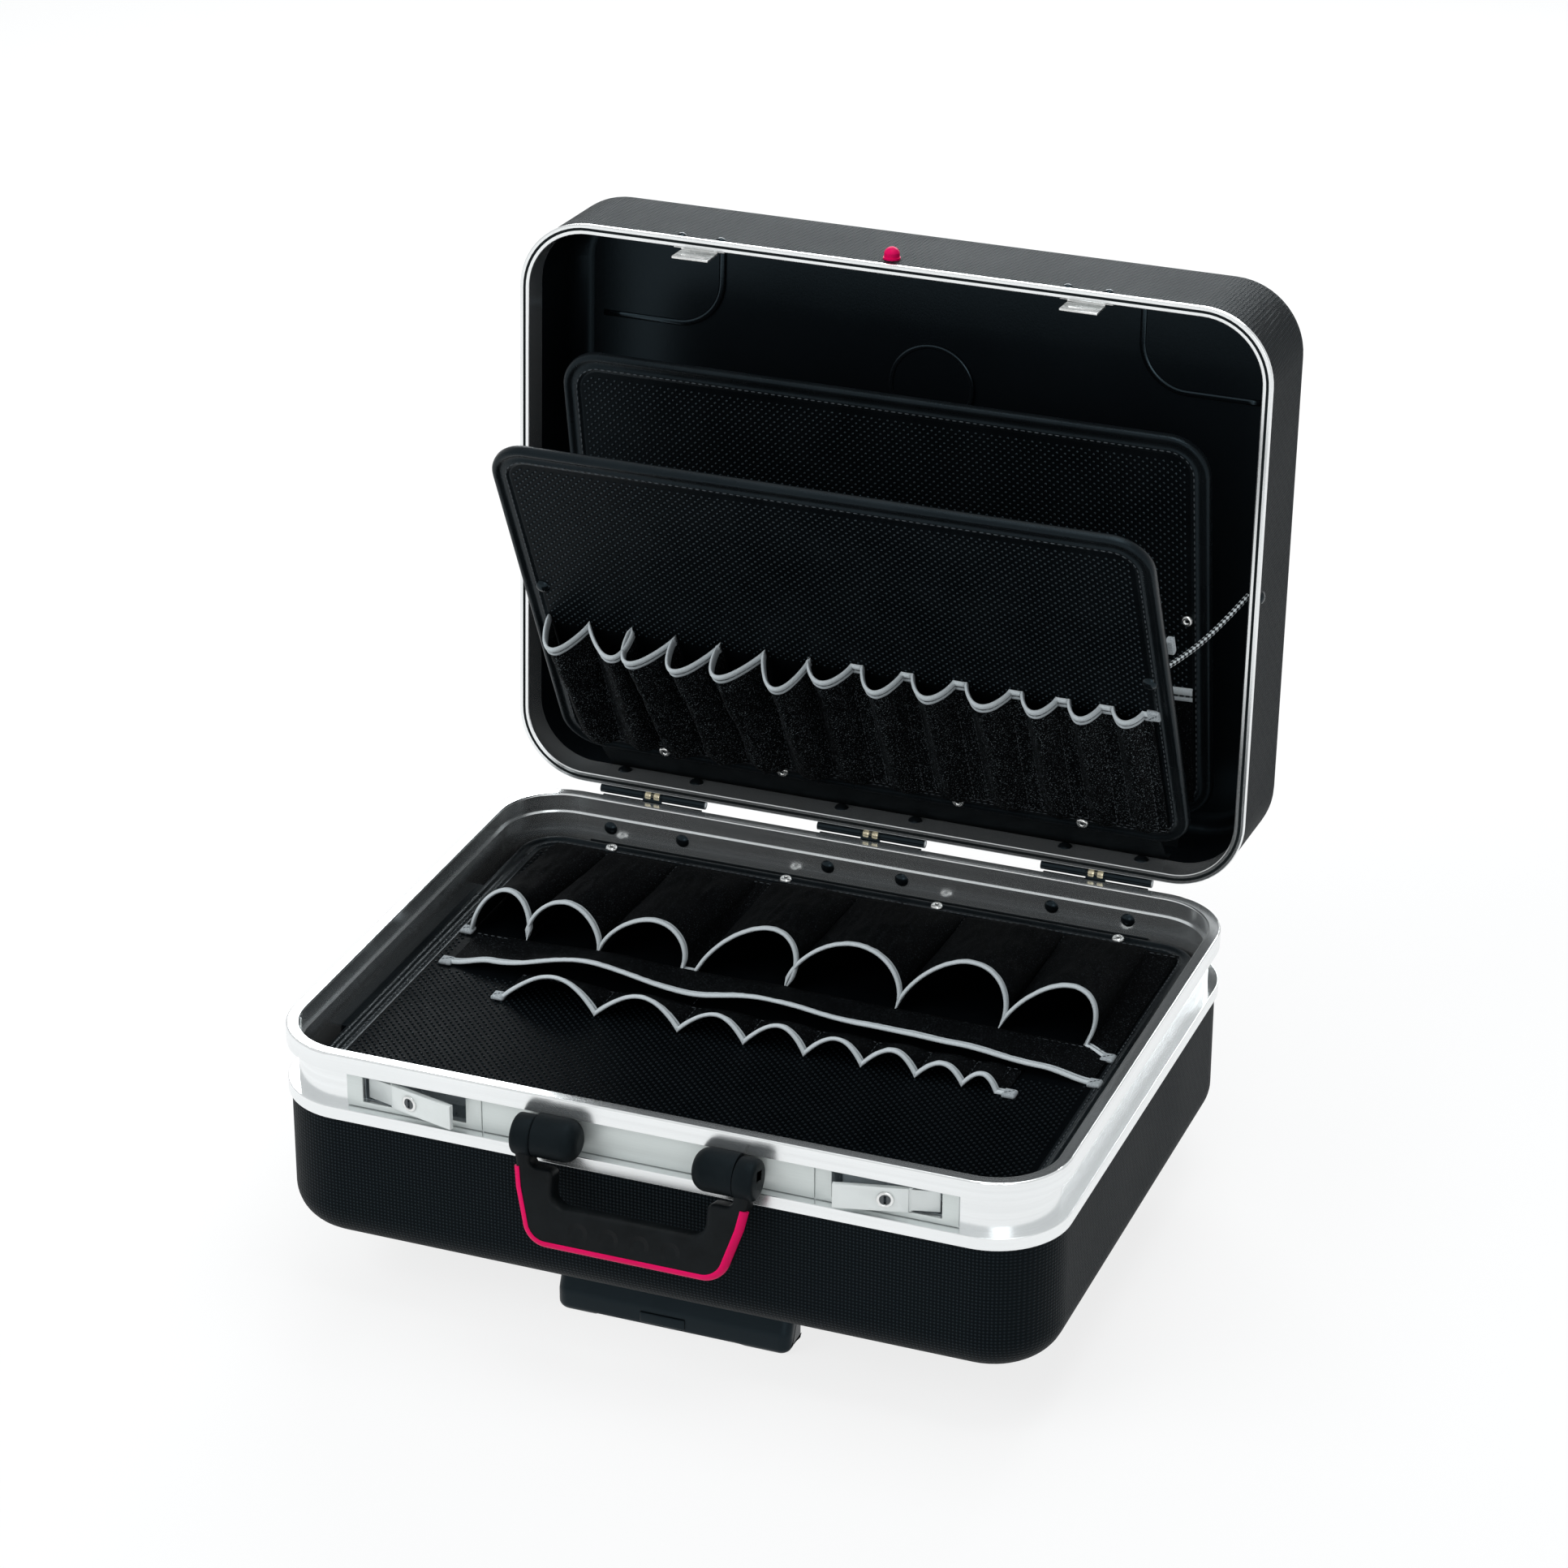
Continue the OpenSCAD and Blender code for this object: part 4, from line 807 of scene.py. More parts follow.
# %% Board covers with rolled rims
RIM = [(0.0124, 0.0), (0.0112, 0.0002), (0.0104, 0.0008), (0.0094, 0.0010), (0.0086, 0.0006),
       (0.0080, 0.0001), (0.0066, 0.0), (0.0054, 0.0001), (0.0046, 0.0007), (0.0034, 0.0014),
       (0.0020, 0.0015), (0.0009, 0.0010), (0.0002, -0.0002), (0.0, -0.0020)]


def board_cover(name, place, half, low, high, radius, body, node):
    rings = list(RIM) + [(i, -BOARD_T - w) for i, w in reversed(RIM[:-1])]
    vertices = []
    for inset, w in rings:
        path = rounded_path(half, low, high, radius, inset)
        vertices += [place @ Vector((u, v, w)) for u, v in path]
    faces = grid_faces(len(rings), len(path)) + end_caps(len(rings), len(path))
    piece = outward(new_piece(name, vertices, faces, rim_leather))
    piece.data.materials.append(base_leather_painted_shade if node == "base_board" else board_leather)
    for face in piece.data.polygons:
        face.use_smooth = len(face.vertices) == 4
        face.material_index = 0 if face.use_smooth else 1
    return hand_over(piece, body, node)


BOARD_CORNER = 0.026
LID_BOARD_HALF, BASE_BOARD_HALF = 0.212, 0.228
LID_BOARD = (LID_BOARD_HALF, 0.0011, 0.278, BOARD_CORNER)
BASE_BOARD = (BASE_BOARD_HALF, -0.158, 0.1743, BOARD_CORNER)
BOARDS = {
    "front_board": (front_place, *LID_BOARD),
    "rear_board": (rear_place, *LID_BOARD),
    "base_board": (base_place, *BASE_BOARD),
}
for board, (place, *outline) in BOARDS.items():
    cover = board_cover(board + "_cover", place, *outline, board, board)
    print(cover.name, len(cover.data.polygons), "faces")


# %% Stitches round the boards
def stitch_run(name, path, facing, length, pitch, thick, material, body, lift=0.0, seed=1, closed=False):
    """Stitches of one length along a path in the row frame, at an even pitch."""
    line = [Vector(p) for p in path]
    up = [Vector(n) for n in facing]
    if closed:
        line.append(line[0])
        up.append(up[0])
    points, faces, along = [], [], []
    travel, target_at = 0.0, pitch / 2
    for (a, na), (b, nb) in zip(zip(line, up), zip(line[1:], up[1:])):
        span = (b - a).length
        while span > 0 and target_at <= travel + span:
            t = (target_at - travel) / span
            n = na.lerp(nb, t).normalized()
            points.append(a.lerp(b, t) + n * lift)
            faces.append(n)
            along.append((b - a).normalized())
            target_at += pitch
        travel += span
    size = (length, thick, thick * 0.9)
    return place_copies(name, points, faces, along, size, material, body, 6, 5, 0.08, seed)


WELT_INSET, WELT_RISE = 0.0099, 0.0011
for index, (board, (place, *outline)) in enumerate(BOARDS.items()):
    turn_only = place.to_3x3()
    for side, w, way in (("front", WELT_RISE, 1), ("back", -BOARD_T - WELT_RISE, -1)):
        line = [place @ Vector((u, v, w)) for u, v in rounded_path(*outline, WELT_INSET)]
        out = turn_only @ Vector((0, 0, way))
        run = stitch_run("%s_stitches_%s" % (board, side), line, [out] * len(line), 0.0032, 0.0044,
                         0.0008, grey_thread, board, 0.0, index + 3, True)
print("board stitches sewn")

# %% [markdown]
# The leather between the rims is embossed with small raised dots in a staggered grid, which is
# what makes the boards glitter in the picture. They are real bumps, placed by the same tree, and
# a little glossier than the leather round them, because their tops are pressed smooth.

# %% Raised dots on the leather
DOT_PITCH, DOT_ROW = 0.0052, 0.0026
DOT_SIZE = (0.0020, 0.0020, 0.0016)
DOTS_INSET = 0.0152
DOT_SEED = 5


def board_dots(board, finish, skip):
    place, half, low, high, radius = BOARDS[board]
    turn_only = place.to_3x3()
    out, across = turn_only @ Vector((0, 0, 1)), turn_only @ Vector((1, 0, 0))
    inset, points = DOTS_INSET, []
    rows = int((high - low - 2 * inset) / DOT_ROW)
    for r in range(rows + 1):
        v = low + inset + r * DOT_ROW
        shift = DOT_PITCH / 2 if r % 2 else 0
        u = -half + inset + shift
        while u <= half - inset:
            past_v = abs(v - (low + high) / 2) - (high - low) / 2 + radius
            corner = math.hypot(max(abs(u) - half + radius, 0), max(past_v, 0))
            if corner < radius - inset + 0.001 and not skip(u, v):
                points.append(place @ Vector((u, v, 0.0)))
            u += DOT_PITCH
    name = board + "_dots"
    piece = place_copies(name, points, [out] * len(points), [across] * len(points), DOT_SIZE, finish,
                         board, 6, 4, 0.05, DOT_SEED)
    print(name, len(points), "dots")


board_dots("front_board", dot_leather, lambda u, v: v < 0.118)
board_dots("rear_board", dot_leather, lambda u, v: v < 0.09)
board_dots("base_board", base_dot_leather_painted_shade, lambda u, v: v > -0.02 and abs(u) < 0.21)

# %% [markdown]
# ## Pockets
# A pocket row is one strip of woven cloth, sewn to the board along lines. Between two lines it is
# longer than the board is, so it stands up in a loop that a tool handle slides into; at its
# closed end it lies flat. The surface follows that rule: a loop across each cell, high at the
# mouth and sinking towards the end. Each loop leans to one side, as slack cloth does, some
# lines lie in pairs with a flat strip between them, and creases run down from the seams.

# %% The surface of a pocket row
class PocketRow:
    def __init__(self, place, seams, rises, leans, mouth, end, back, low, power, fall=1.1, crease=0.0012,
                 seed=0, slack_edge=None, end_run=0.0, narrow=-0.2):
        self.place, self.x, self.rise, self.lean = place, list(seams), list(rises), list(leans)
        self.mouth, self.end, self.back, self.low = mouth, end, back, low
        self.power, self.fall, self.crease = power, fall, crease
        self.seed, self.slack_edge = seed, slack_edge
        self.length, self.end_run, self.narrow = abs(end - mouth), end_run, narrow
        self.way = 1 if end > mouth else -1

    def cells(self):
        return len(self.x) - 1

    def loop(self, i, t, u, share):
        """Height of the free edge, and how much of a loop there is, from 0 at a seam to 1."""
        if self.slack_edge:
            knots = self.slack_edge
            for (u0, h0), (u1, h1) in zip(knots, knots[1:]):
                if u <= u1:
                    s = max(0.0, min(1.0, (u - u0) / (u1 - u0)))
                    s = s * s * (3 - 2 * s)
                    height = h0 + (h1 - h0) * s
                    return height, min(1.0, height / 0.008)
            return 0.0, 0.0
        if self.rise[i] <= 0:
            return 0.0, 0.0
        power = self.power * (1 + self.narrow * min(1.0, share * 4))
        arch = max(0.0, math.sin(math.pi * t)) ** power
        return self.rise[i] * arch, arch

    def local(self, q, depth):
        """Place on the board for q, in cells from the left, and depth, in metres from the mouth."""
        i = min(int(q), self.cells() - 1)
        t = q - i
        share = max(0.0, min(1.0, depth / self.length))
        u = self.x[i] + (self.x[i + 1] - self.x[i]) * t
        height, arch = self.loop(i, t, u, share)
        w = height * (self.low + (1 - self.low) * (1 - share) ** self.fall)
        v = self.mouth + self.way * (depth + self.back * height * (1 - share))
        u += self.lean[i] * w
        if i == self.cells() - 1:
            v -= self.way * self.end_run * t * t * (3 - 2 * t) * (1 - share)
        strength = arch * min(1.0, w / 0.006)
        if strength > 0:
            key = Vector((u * 34 + self.seed, v * 22, self.seed * 1.7))
            slack = noise.noise(key) * 0.0022
            fold = Vector((u * 150 + v * 30, v * 19, self.seed * 2.3))
            ridge = 0.55 - 2.2 * abs(noise.noise(fold)) + 0.35 * noise.noise(fold * 2.7)
            loose = slack * min(1, 0.25 + share * 3)
            creased = ridge * self.crease * min(1, 0.08 + share * 4)
            w += strength * (loose + creased)
        return Vector((u, v, max(w, 0.0) + 0.0005))

    def normal(self, q, depth):
        e = 0.02
        a = self.local(min(q + e, self.cells() - 1e-6), depth) - self.local(max(q - e, 0), depth)
        b = self.local(q, depth + 0.001) - self.local(q, depth - 0.001)
        n = a.cross(b) * self.way
        return n.normalized() if n.length > 1e-9 else Vector((0, 0, 1))

    def steps(self, pitch):
        """Values of q, closer together where a cell is wide or its loop is high."""
        found = []
        for c in range(self.cells()):
            reach = (self.x[c + 1] - self.x[c]) + 2 * self.rise[c]
            samples = max(3, int(reach / pitch))
            found += [c + k / samples for k in range(samples)]
        return found + [self.cells() - 1e-6]

    def travelled(self, steps):
        """Length of the free edge from its left end to each step, for the weave's own map."""
        total, last, found = 0.0, None, []
        for q in steps:
            p = self.local(q, 0.0)
            total += (p - last).length if last is not None else 0.0
            found.append(total)
            last = p
        return found


# %% Cloth, binding and thread of a pocket row
CLOTH_PITCH, CLOTH_THICK = 0.0026, 0.0009


def pocket_cloth_piece(name, row, body, finish, rows):
    steps = row.steps(CLOTH_PITCH)
    gone = row.travelled(steps)
    vertices, uv = [], []
    for side in (0, 1):
        for r in range(rows + 1):
            depth = row.length * r / rows
            for q, s in zip(steps, gone):
                p = row.local(q, depth)
                if side:
                    p = p + row.normal(q, depth) * CLOTH_THICK
                vertices.append(row.place @ p)
                uv.append((s, depth))
    n = len(steps)
    offset = n * (rows + 1)
    faces = []
    for r in range(rows):
        for k in range(n - 1):
            a = r * n + k
            faces.append((a, a + 1, a + n + 1, a + n))
            faces.append((a + offset, a + n + offset, a + n + 1 + offset, a + 1 + offset))
    for k in range(n - 1):
        for a, flip in ((k, False), (rows * n + k, True)):
            quad = (a, a + offset, a + offset + 1, a + 1)
            faces.append(quad if not flip else quad[::-1])
    for r in range(rows):
        for a, flip in ((r * n, True), (r * n + n - 1, False)):
            quad = (a, a + offset, a + offset + n, a + n)
            faces.append(quad if not flip else quad[::-1])
    return hand_over(outward(new_piece(name, vertices, faces, finish, True, uv), 1e-7), body)


TAPE = [(-0.0014, 0.0), (-0.0011, 0.0009), (-0.0003, 0.0015), (0.0009, 0.0017), (0.0020, 0.0014),
        (0.0027, 0.0006), (0.0033, 0.0005), (0.0040, 0.0012), (0.0049, 0.0014), (0.0057, 0.0011),
        (0.0061, 0.0004), (0.0061, -0.0003), (0.0040, -0.0007), (0.0010, -0.0009), (-0.0009, -0.0006)]
TAPE_PITCH, TAPE_MAP_STEP = 0.0014, 0.0008


def binding_piece(name, row, body, wide):
    """Tape folded over the mouth and sewn through: a roll at the edge, a furrow and a thin ridge."""
    steps = row.steps(TAPE_PITCH)
    gone = row.travelled(steps)
    vertices, uv = [], []
    for q, s in zip(steps, gone):
        base, out = row.local(q, 0.0), row.normal(q, 0.0012)
        inward = (row.local(q, 0.004) - base).normalized()
        for j, (d, h) in enumerate(TAPE):
            p = base + inward * d * wide + out * (h + CLOTH_THICK / 2)
            p.z = max(p.z, 0.0002)
            vertices.append(row.place @ p)
            uv.append((s, j * TAPE_MAP_STEP))
    faces = grid_faces(len(steps), len(TAPE)) + end_caps(len(steps), len(TAPE))
    piece = outward(new_piece(name, vertices, faces, binding_tape, True, uv), 1e-7)
    return hand_over(piece, body)


def binding_stitches(name, row, body, seed, wide):
    turn_only = row.place.to_3x3()
    line, out = [], []
    for q in row.steps(0.0012):
        n = row.normal(q, 0.0012)
        line.append(row.place @ (row.local(q, 0.0030 * wide) + n * 0.00105))
        out.append(turn_only @ n)
    piece = stitch_run(name, line, out, 0.0026, 0.0038, 0.0006, dark_thread, body, 0.0, seed)
    return piece


SEAM_PITCH = 0.0045


def seam_stitches(name, row, body, seed):
    """The lines that hold the cloth to the board, between the loops and along the closed end."""
    turn_only = row.place.to_3x3()
    up = turn_only @ Vector((0, 0, 1))
    points, along = [], []
    for x in row.x[1:-1]:
        for k in range(int(row.length / SEAM_PITCH)):
            v = row.mouth + row.way * (0.006 + k * SEAM_PITCH)
            if abs(v - row.mouth) < row.length - 0.002:
                points.append(row.place @ Vector((x, v, 0.0015)))
                along.append(turn_only @ Vector((0, 1, 0)))
    v = row.end - row.way * 0.003
    for k in range(int((row.x[-1] - row.x[0]) / SEAM_PITCH)):
        points.append(row.place @ Vector((row.x[0] + 0.002 + k * SEAM_PITCH, v, 0.0017 + row.low * 0.004)))
        along.append(turn_only @ Vector((1, 0, 0)))
    piece = place_copies(name, points, [up] * len(points), along, (0.0032, 0.0006, 0.0006), grey_thread,
                         body, 6, 5, 0.1, seed)
    return piece


TAB_HALF = 0.0042


def end_tabs(name, row, body, ends):
    """Small folded squares of tape that finish a binding at its ends, each with a sewn diagonal."""
    vertices, faces = [], []
    for u, run in ends:
        centre = Vector((u, row.mouth + row.way * (0.0012 - run), 0.0))
        first = len(vertices)
        rings = [(0.0, 0.0003), (0.0, 0.0016), (0.0007, 0.0025), (0.0018, 0.0028)]
        for inset, w in rings:
            path = rounded_path(TAB_HALF, -TAB_HALF, TAB_HALF, 0.0012, min(inset, 0.001))
            scale = 1 - max(0.0, inset - 0.001) / TAB_HALF
            vertices += [row.place @ (centre + Vector((x * scale, y * scale, w))) for x, y in path]
        faces += grid_faces(len(rings), len(path), first=first)
        faces += [face[::-1] for face in end_caps(len(rings), len(path), first)]
    uv = [(v.x, v.y) for v in vertices]
    piece = outward(new_piece(name, vertices, faces, tape_cloth, True, uv), 1e-7)
    for face in piece.data.polygons:
        face.use_smooth = len(face.vertices) == 4
    hand_over(piece, body)
    turn_only = row.place.to_3x3()
    up, slant = turn_only @ Vector((0, 0, 1)), turn_only @ Vector((1, 0.8, 0)).normalized()
    marks = []
    for u, run in ends:
        v = row.mouth + row.way * (0.0012 - run)
        marks += [row.place @ Vector((u + s * 0.0019, v + s * 0.0015, 0.0028)) for s in (-1, 0, 1)]
    thread = place_copies(name + "_thread", marks, [up] * len(marks), [slant] * len(marks),
                          (0.0021, 0.0006, 0.0006), dark_thread, body, 6, 5, 0.05, 3)
    return [piece, thread]


def flatten_with_lid(pieces):
    """Gives each piece its own copy of its mesh."""
    for piece in pieces:
        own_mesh(piece)


def sew_row(name, row, body, node, seed, ends=(), rows=30, finish=pocket_cloth, wide=1.0):
    """Cloth, tape, thread and tabs of one row."""
    panel = pocket_cloth_piece(name, row, body, finish, rows)
    area = sum(f.area for f in panel.data.polygons) / 2
    tape = binding_piece(name + "_binding", row, body, wide)
    outer = binding_stitches(name + "_binding_thread", row, body, seed, wide)
    seams = seam_stitches(name + "_seams", row, body, seed + 1)
    tabs = end_tabs(name + "_tabs", row, body, ends) if ends else []
    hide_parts(node)
    flatten_with_lid([panel, tape, outer, seams] + tabs)
    print(name, "cells:", row.cells(), "cloth area cm2:", round(area * 1e4))


def mm(*values):
    return [v / 1000 for v in values]


# %% Sew the pocket rows of the three boards
large_row = PocketRow(
    base_place, mm(-208, -170.5, -122, -66.6, -56.3, 2.5, 75, 141, 195.5, 216),
    mm(29, 28, 27, 0, 35, 35, 37, 34, 0), (0.12, 0.0, 0.3, 0, 0.5, 0.21, 0.35, 0.48, 0),
    mouth=0.030, end=0.160, back=0.25, low=0.05, power=0.43, fall=0.95, crease=0.0013, seed=3,
    end_run=0.010)
strip_row = PocketRow(
    base_place, mm(-203, -42, 214), mm(17.5, 15.5), (0, 0),
    mouth=-0.012, end=0.030, back=0.0, low=0.15, power=0.9, fall=1.0, crease=0.0005, seed=11,
    slack_edge=[mm(*knot) for knot in ((-203, 0), (-175, 5.5), (-112, 17.5), (-42, 9), (5, 15.5),
                                       (70, 10.5), (128, 9), (182, 5), (214, 0))])
small_row = PocketRow(
    base_place, mm(-154, -93, -38.5, 4.3, 43.2, 79.7, 114, 143.4, 164, 171),
    mm(18, 16, 14, 14.5, 13.5, 12.5, 10.5, 9, 0), (0.15,) * 9,
    mouth=-0.042, end=-0.010, back=0.2, low=0.12, power=0.9, fall=1.0, crease=0.0005, seed=17)
lid_row = PocketRow(
    front_place, mm(-199, -171.8, -143, -113, -83, -53.2, -24, 3.5, 12, 36.6, 45, 70.4, 80, 106.7, 116,
                    136.6, 146, 164.7, 174, 191.6, 198),
    mm(26, 24.5, 26.5, 27, 26, 28, 17, 0, 18, 0, 15.5, 0, 15, 0, 13, 0, 12, 0, 9.5, 0),
    (-0.1, 0.35, -0.27, -0.25, -0.3, 0.05) + (0,) * 14,
    mouth=0.126, end=0.0125, back=0.0, low=0.22, power=0.72, fall=0.72, crease=0.0014, seed=23, narrow=0.9)
rear_row = PocketRow(
    rear_place, mm(-195, -40, 200), mm(4, 4), (0, 0),
    mouth=0.098, end=0.014, back=0.0, low=0.3, power=0.9, fall=1.0, crease=0.0004, seed=31)

sew_row("base_pockets_large_cloth", large_row, "base_board", "base_pockets_large", 41,
        [(-0.211, 0), (0.214, 0.010)], wide=0.75)
sew_row("base_strip_cloth", strip_row, "base_board", "base_pocket_strip", 43,
        [(-0.206, 0), (0.216, 0)], 14, wide=0.8)
sew_row("base_pockets_small_cloth", small_row, "base_board", "base_pockets_small", 45,
        [(-0.157, 0), (0.173, 0)], 14, wide=0.75)
sew_row("lid_pockets_cloth", lid_row, "front_board", "front_board_pockets", 47,
        [(0.199, 0.0)], 34, lid_cloth_painted_highlight)
sew_row("rear_pocket_cloth", rear_row, "rear_board", "rear_board_pocket", 49, (), 14, wide=1.3)

# %% [markdown]
# ## Softer edges on the hard fittings
# No cast, bent or moulded edge is perfectly sharp, and a small rounding catches a thin line of
# light. The engineering solids leave most of them out. A copy of the solid is taken, its loose
# triangles are joined into whole faces, and then every edge sharper than 30 degrees is bevelled.
# If a bevel would leave the solid's own box, the copy is thrown away and the solid stays.

# %% Softened copies of solids
bodies = frame["record"]["behaviour"]["bodies"]
body_of = {node: body for body, members in bodies.items() for node in members}


SAME_PLACE = 2e-6
SAME_FACE, SHARP_EDGE, SHARP_SHADE = math.radians(0.6), math.radians(30), math.radians(42)


def softened(node, width, segments, material, slot):
    work = bmesh.new()
    work.from_mesh(nodes[node].data)
    bmesh.ops.remove_doubles(work, verts=work.verts, dist=SAME_PLACE)
    bmesh.ops.dissolve_limit(work, angle_limit=SAME_FACE, verts=work.verts, edges=work.edges)
    edges = [e for e in work.edges if len(e.link_faces) == 2 and e.calc_face_angle(0.0) > SHARP_EDGE]
    bmesh.ops.bevel(work, geom=edges, offset=width, offset_type="OFFSET", segments=segments, profile=0.5,
                    affect="EDGES", clamp_overlap=True)
    bmesh.ops.remove_doubles(work, verts=work.verts, dist=SAME_PLACE)
    bmesh.ops.recalc_face_normals(work, faces=work.faces)
    mesh = bpy.data.meshes.new(node + "_softened")
    work.to_mesh(mesh)
    work.free()
    low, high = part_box(node)
    places = np.array([v.co[:] for v in mesh.vertices])
    over = max(float((places - np.array(high[:])).max()), float((np.array(low[:]) - places).max()))
    open_edges = sum(1 for e in mesh.edges if e.is_loose)
    if over > 0.0002 or open_edges:
        print(node, "stays as it is; the bevel would stand out by", round(over * 1000, 2), "mm")
        return None
    for face in mesh.polygons:
        face.use_smooth = True
    mesh.set_sharp_from_angle(angle=SHARP_SHADE)
    mesh.materials.append(material)
    piece = bpy.data.objects.new(node + "_softened", mesh)
    bpy.context.scene.collection.objects.link(piece)
    return hand_over(piece, body_of[node], node)


made = [softened(*row) for row in [
    ("handle_brackets", 0.0030, 5, soft_touch, "handle"),
    ("latch_lever_left", 0.0006, 2, lever_metal, "hardware"),
    ("latch_lever_right", 0.0006, 2, lever_metal, "hardware"),
    ("latch_plate_left", 0.0004, 2, plate_metal, "plate"),
    ("latch_plate_right", 0.0004, 2, plate_metal, "plate"),
    ("latch_case_left", 0.0006, 2, zinc_metal, "hardware"),
    ("latch_case_right", 0.0006, 2, zinc_metal, "hardware"),
    ("keeper_left", 0.0005, 2, bright_metal, "hardware"),
    ("keeper_right", 0.0005, 2, bright_metal, "hardware"),
    ("name_strip", 0.0004, 2, plate_metal, "plate"),
    ("hinge_base_leaves", 0.0004, 2, black_gloss, "hardware"),
    ("hinge_lid_leaves", 0.0004, 2, black_gloss, "hardware"),
    ("trolley_button", 0.0010, 3, black_moulded, "trolley"),
    ("trolley_housing", 0.0015, 3, black_moulded, "trolley"),
    ("wheel_brackets", 0.0020, 3, black_moulded, "trolley")]]
print("softened:", sum(1 for piece in made if piece), "of", len(made))

# %% [markdown]
# ## Pull grip of the trolley
# The grip is a hollow moulding whose section has soft corners, a sloping front and a shallow
# recess below for the fingers. It is made as one rounded section, set at many stations along the
# grip. Towards each end the section shrinks along a quarter circle, which rounds the end.

# %% Filleted outlines and the pull grip
def filleted(corners, step=0.0012):
    """A closed outline from corners (x, y, fillet radius), with points close on the fillets."""
    points = []
    for k, (x, y, radius) in enumerate(corners):
        here = Vector((x, y))
        before = (Vector(corners[k - 1][:2]) - here).normalized()
        after = (Vector(corners[(k + 1) % len(corners)][:2]) - here).normalized()
        half = before.angle(after) / 2
        if radius <= 0 or half > math.radians(89):
            points.append(here)
            continue
        reach = radius / math.tan(half)
        middle = here + (before + after).normalized() * (radius / math.sin(half))
        first, last = here + before * reach - middle, here + after * reach - middle
        sweep = first.angle_signed(last)
        count = max(3, int(abs(sweep) * radius / step))
        for i in range(count + 1):
            a = -sweep * i / count
            cosine, sine = math.cos(a), math.sin(a)
            points.append(middle + Vector((first.x * cosine - first.y * sine,
                                           first.x * sine + first.y * cosine)))
    return points


def inset_path(points, inset, closed=True):
    """Moves each point to the left of its travel, which is inward on a counter-clockwise path."""
    found = []
    for k, p in enumerate(points):
        last = points[k - 1] if closed or k else p - (points[1] - p)
        on = closed or k < len(points) - 1
        following = points[(k + 1) % len(points)] if on else p + (p - points[k - 1])
        a, b = (p - last).normalized(), (following - p).normalized()
        left = Vector((-(a.y + b.y), a.x + b.x)).normalized()
        stretch = 1 / max(0.5, math.sqrt(max(0.0, (1 + a.dot(b)) / 2)))
        found.append(p + left * inset * stretch)
    return found


def pull_grip():
    low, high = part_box("trolley_grip")
    front, deep, tall = low.y, high.y - low.y, high.z - low.z
    corners = [(0.0, 0.0, 0.0045), (deep, 0.0, 0.003), (deep, tall, 0.006), (0.0085, tall, 0.005),
               (0.0, 0.014, 0.008)]
    section = filleted(corners, 0.0011)
    round_off, half, end_steps = 0.0075, high.x, range(0, 91, 10)
    stations = [(-half + round_off * (1 - math.cos(math.radians(a))),
                 round_off * (1 - math.sin(math.radians(a)))) for a in end_steps]
    stations += [(x / 1000, 0.0) for x in range(-65, 66, 3)]
    stations += [(-x, inset) for x, inset in reversed(stations[:len(end_steps)])]
    vertices = []
    for x, inset in stations:
        hollow = max(0.0, min(1.0, (0.050 - abs(x + 0.003)) / 0.006))
        floor = 0.0022 * hollow * hollow * (3 - 2 * hollow)
        for p in inset_path(section, inset * 0.8):
            lifted = max(p.y, floor) if p.y < 0.004 else p.y
            vertices.append(Vector((x, front + p.x, low.z + lifted)))
    faces = grid_faces(len(stations), len(section)) + end_caps(len(stations), len(section))
    piece = outward(new_piece("trolley_grip_moulding", vertices, faces, black_moulded), 1e-7)
    return hand_over(piece, body_of["trolley_grip"], "trolley_grip", sharp=50)


print("pull grip faces:", len(pull_grip().data.polygons))

# %% [markdown]
# ## Carry handle
# The handle is one soft moulding: two arms, a bowed grip with finger dimples, and a crimson band
# let into its front outer edge. Its outline is a polygon whose corners are filleted, and the
# rounded edge comes from rings of that outline, each a little further in and further forward.
# The band is made from the same outline, so it hugs the edge all the way round.

# %% Outline of the handle
PIVOT_Y, PIVOT_Z = -0.197, 0.1495
HANDLE_LEAN = -15
HANDLE_TURN = Matrix.Translation((0, PIVOT_Y, PIVOT_Z)) @ Matrix.Rotation(math.radians(HANDLE_LEAN), 4, "X")
RIGHT = [(0.0613, -0.063, 0.016), (0.0755, 0.0, 0.0), (0.0755, 0.006, 0.0), (0.063, 0.006, 0.0),
         (0.063, -0.017, 0.004), (0.048, -0.017, 0.004), (0.048, -0.038, 0.009)]
LEFT = [(-x, y, r) for x, y, r in reversed(RIGHT)]
HANDLE_OUTLINE = filleted(RIGHT + LEFT)
HANDLE_HALF, HANDLE_EDGE = 0.0075, 0.0036
print("handle outline points:", len(HANDLE_OUTLINE))

# %% Handle body, arm ends and crimson band
def handle_body():
    rings = []
    for side in (-1, 1):
        for k in range(6):
            a = math.radians(90 * (k if side > 0 else 5 - k) / 5)
            depth = HANDLE_HALF - HANDLE_EDGE + HANDLE_EDGE * math.sin(a)
            rings.append((HANDLE_EDGE * (1 - math.cos(a)), side * depth))
    vertices = []
    for inset, depth in rings:
        vertices += [HANDLE_TURN @ Vector((p.x, depth, p.y)) for p in inset_path(HANDLE_OUTLINE, inset)]
    faces = grid_faces(len(rings), len(HANDLE_OUTLINE)) + end_caps(len(rings), len(HANDLE_OUTLINE))
    piece = outward(new_piece("handle_moulding", vertices, faces, handle_rubber), 1e-7)
    return hand_over(piece, "handle", "handle_grip", sharp=50)


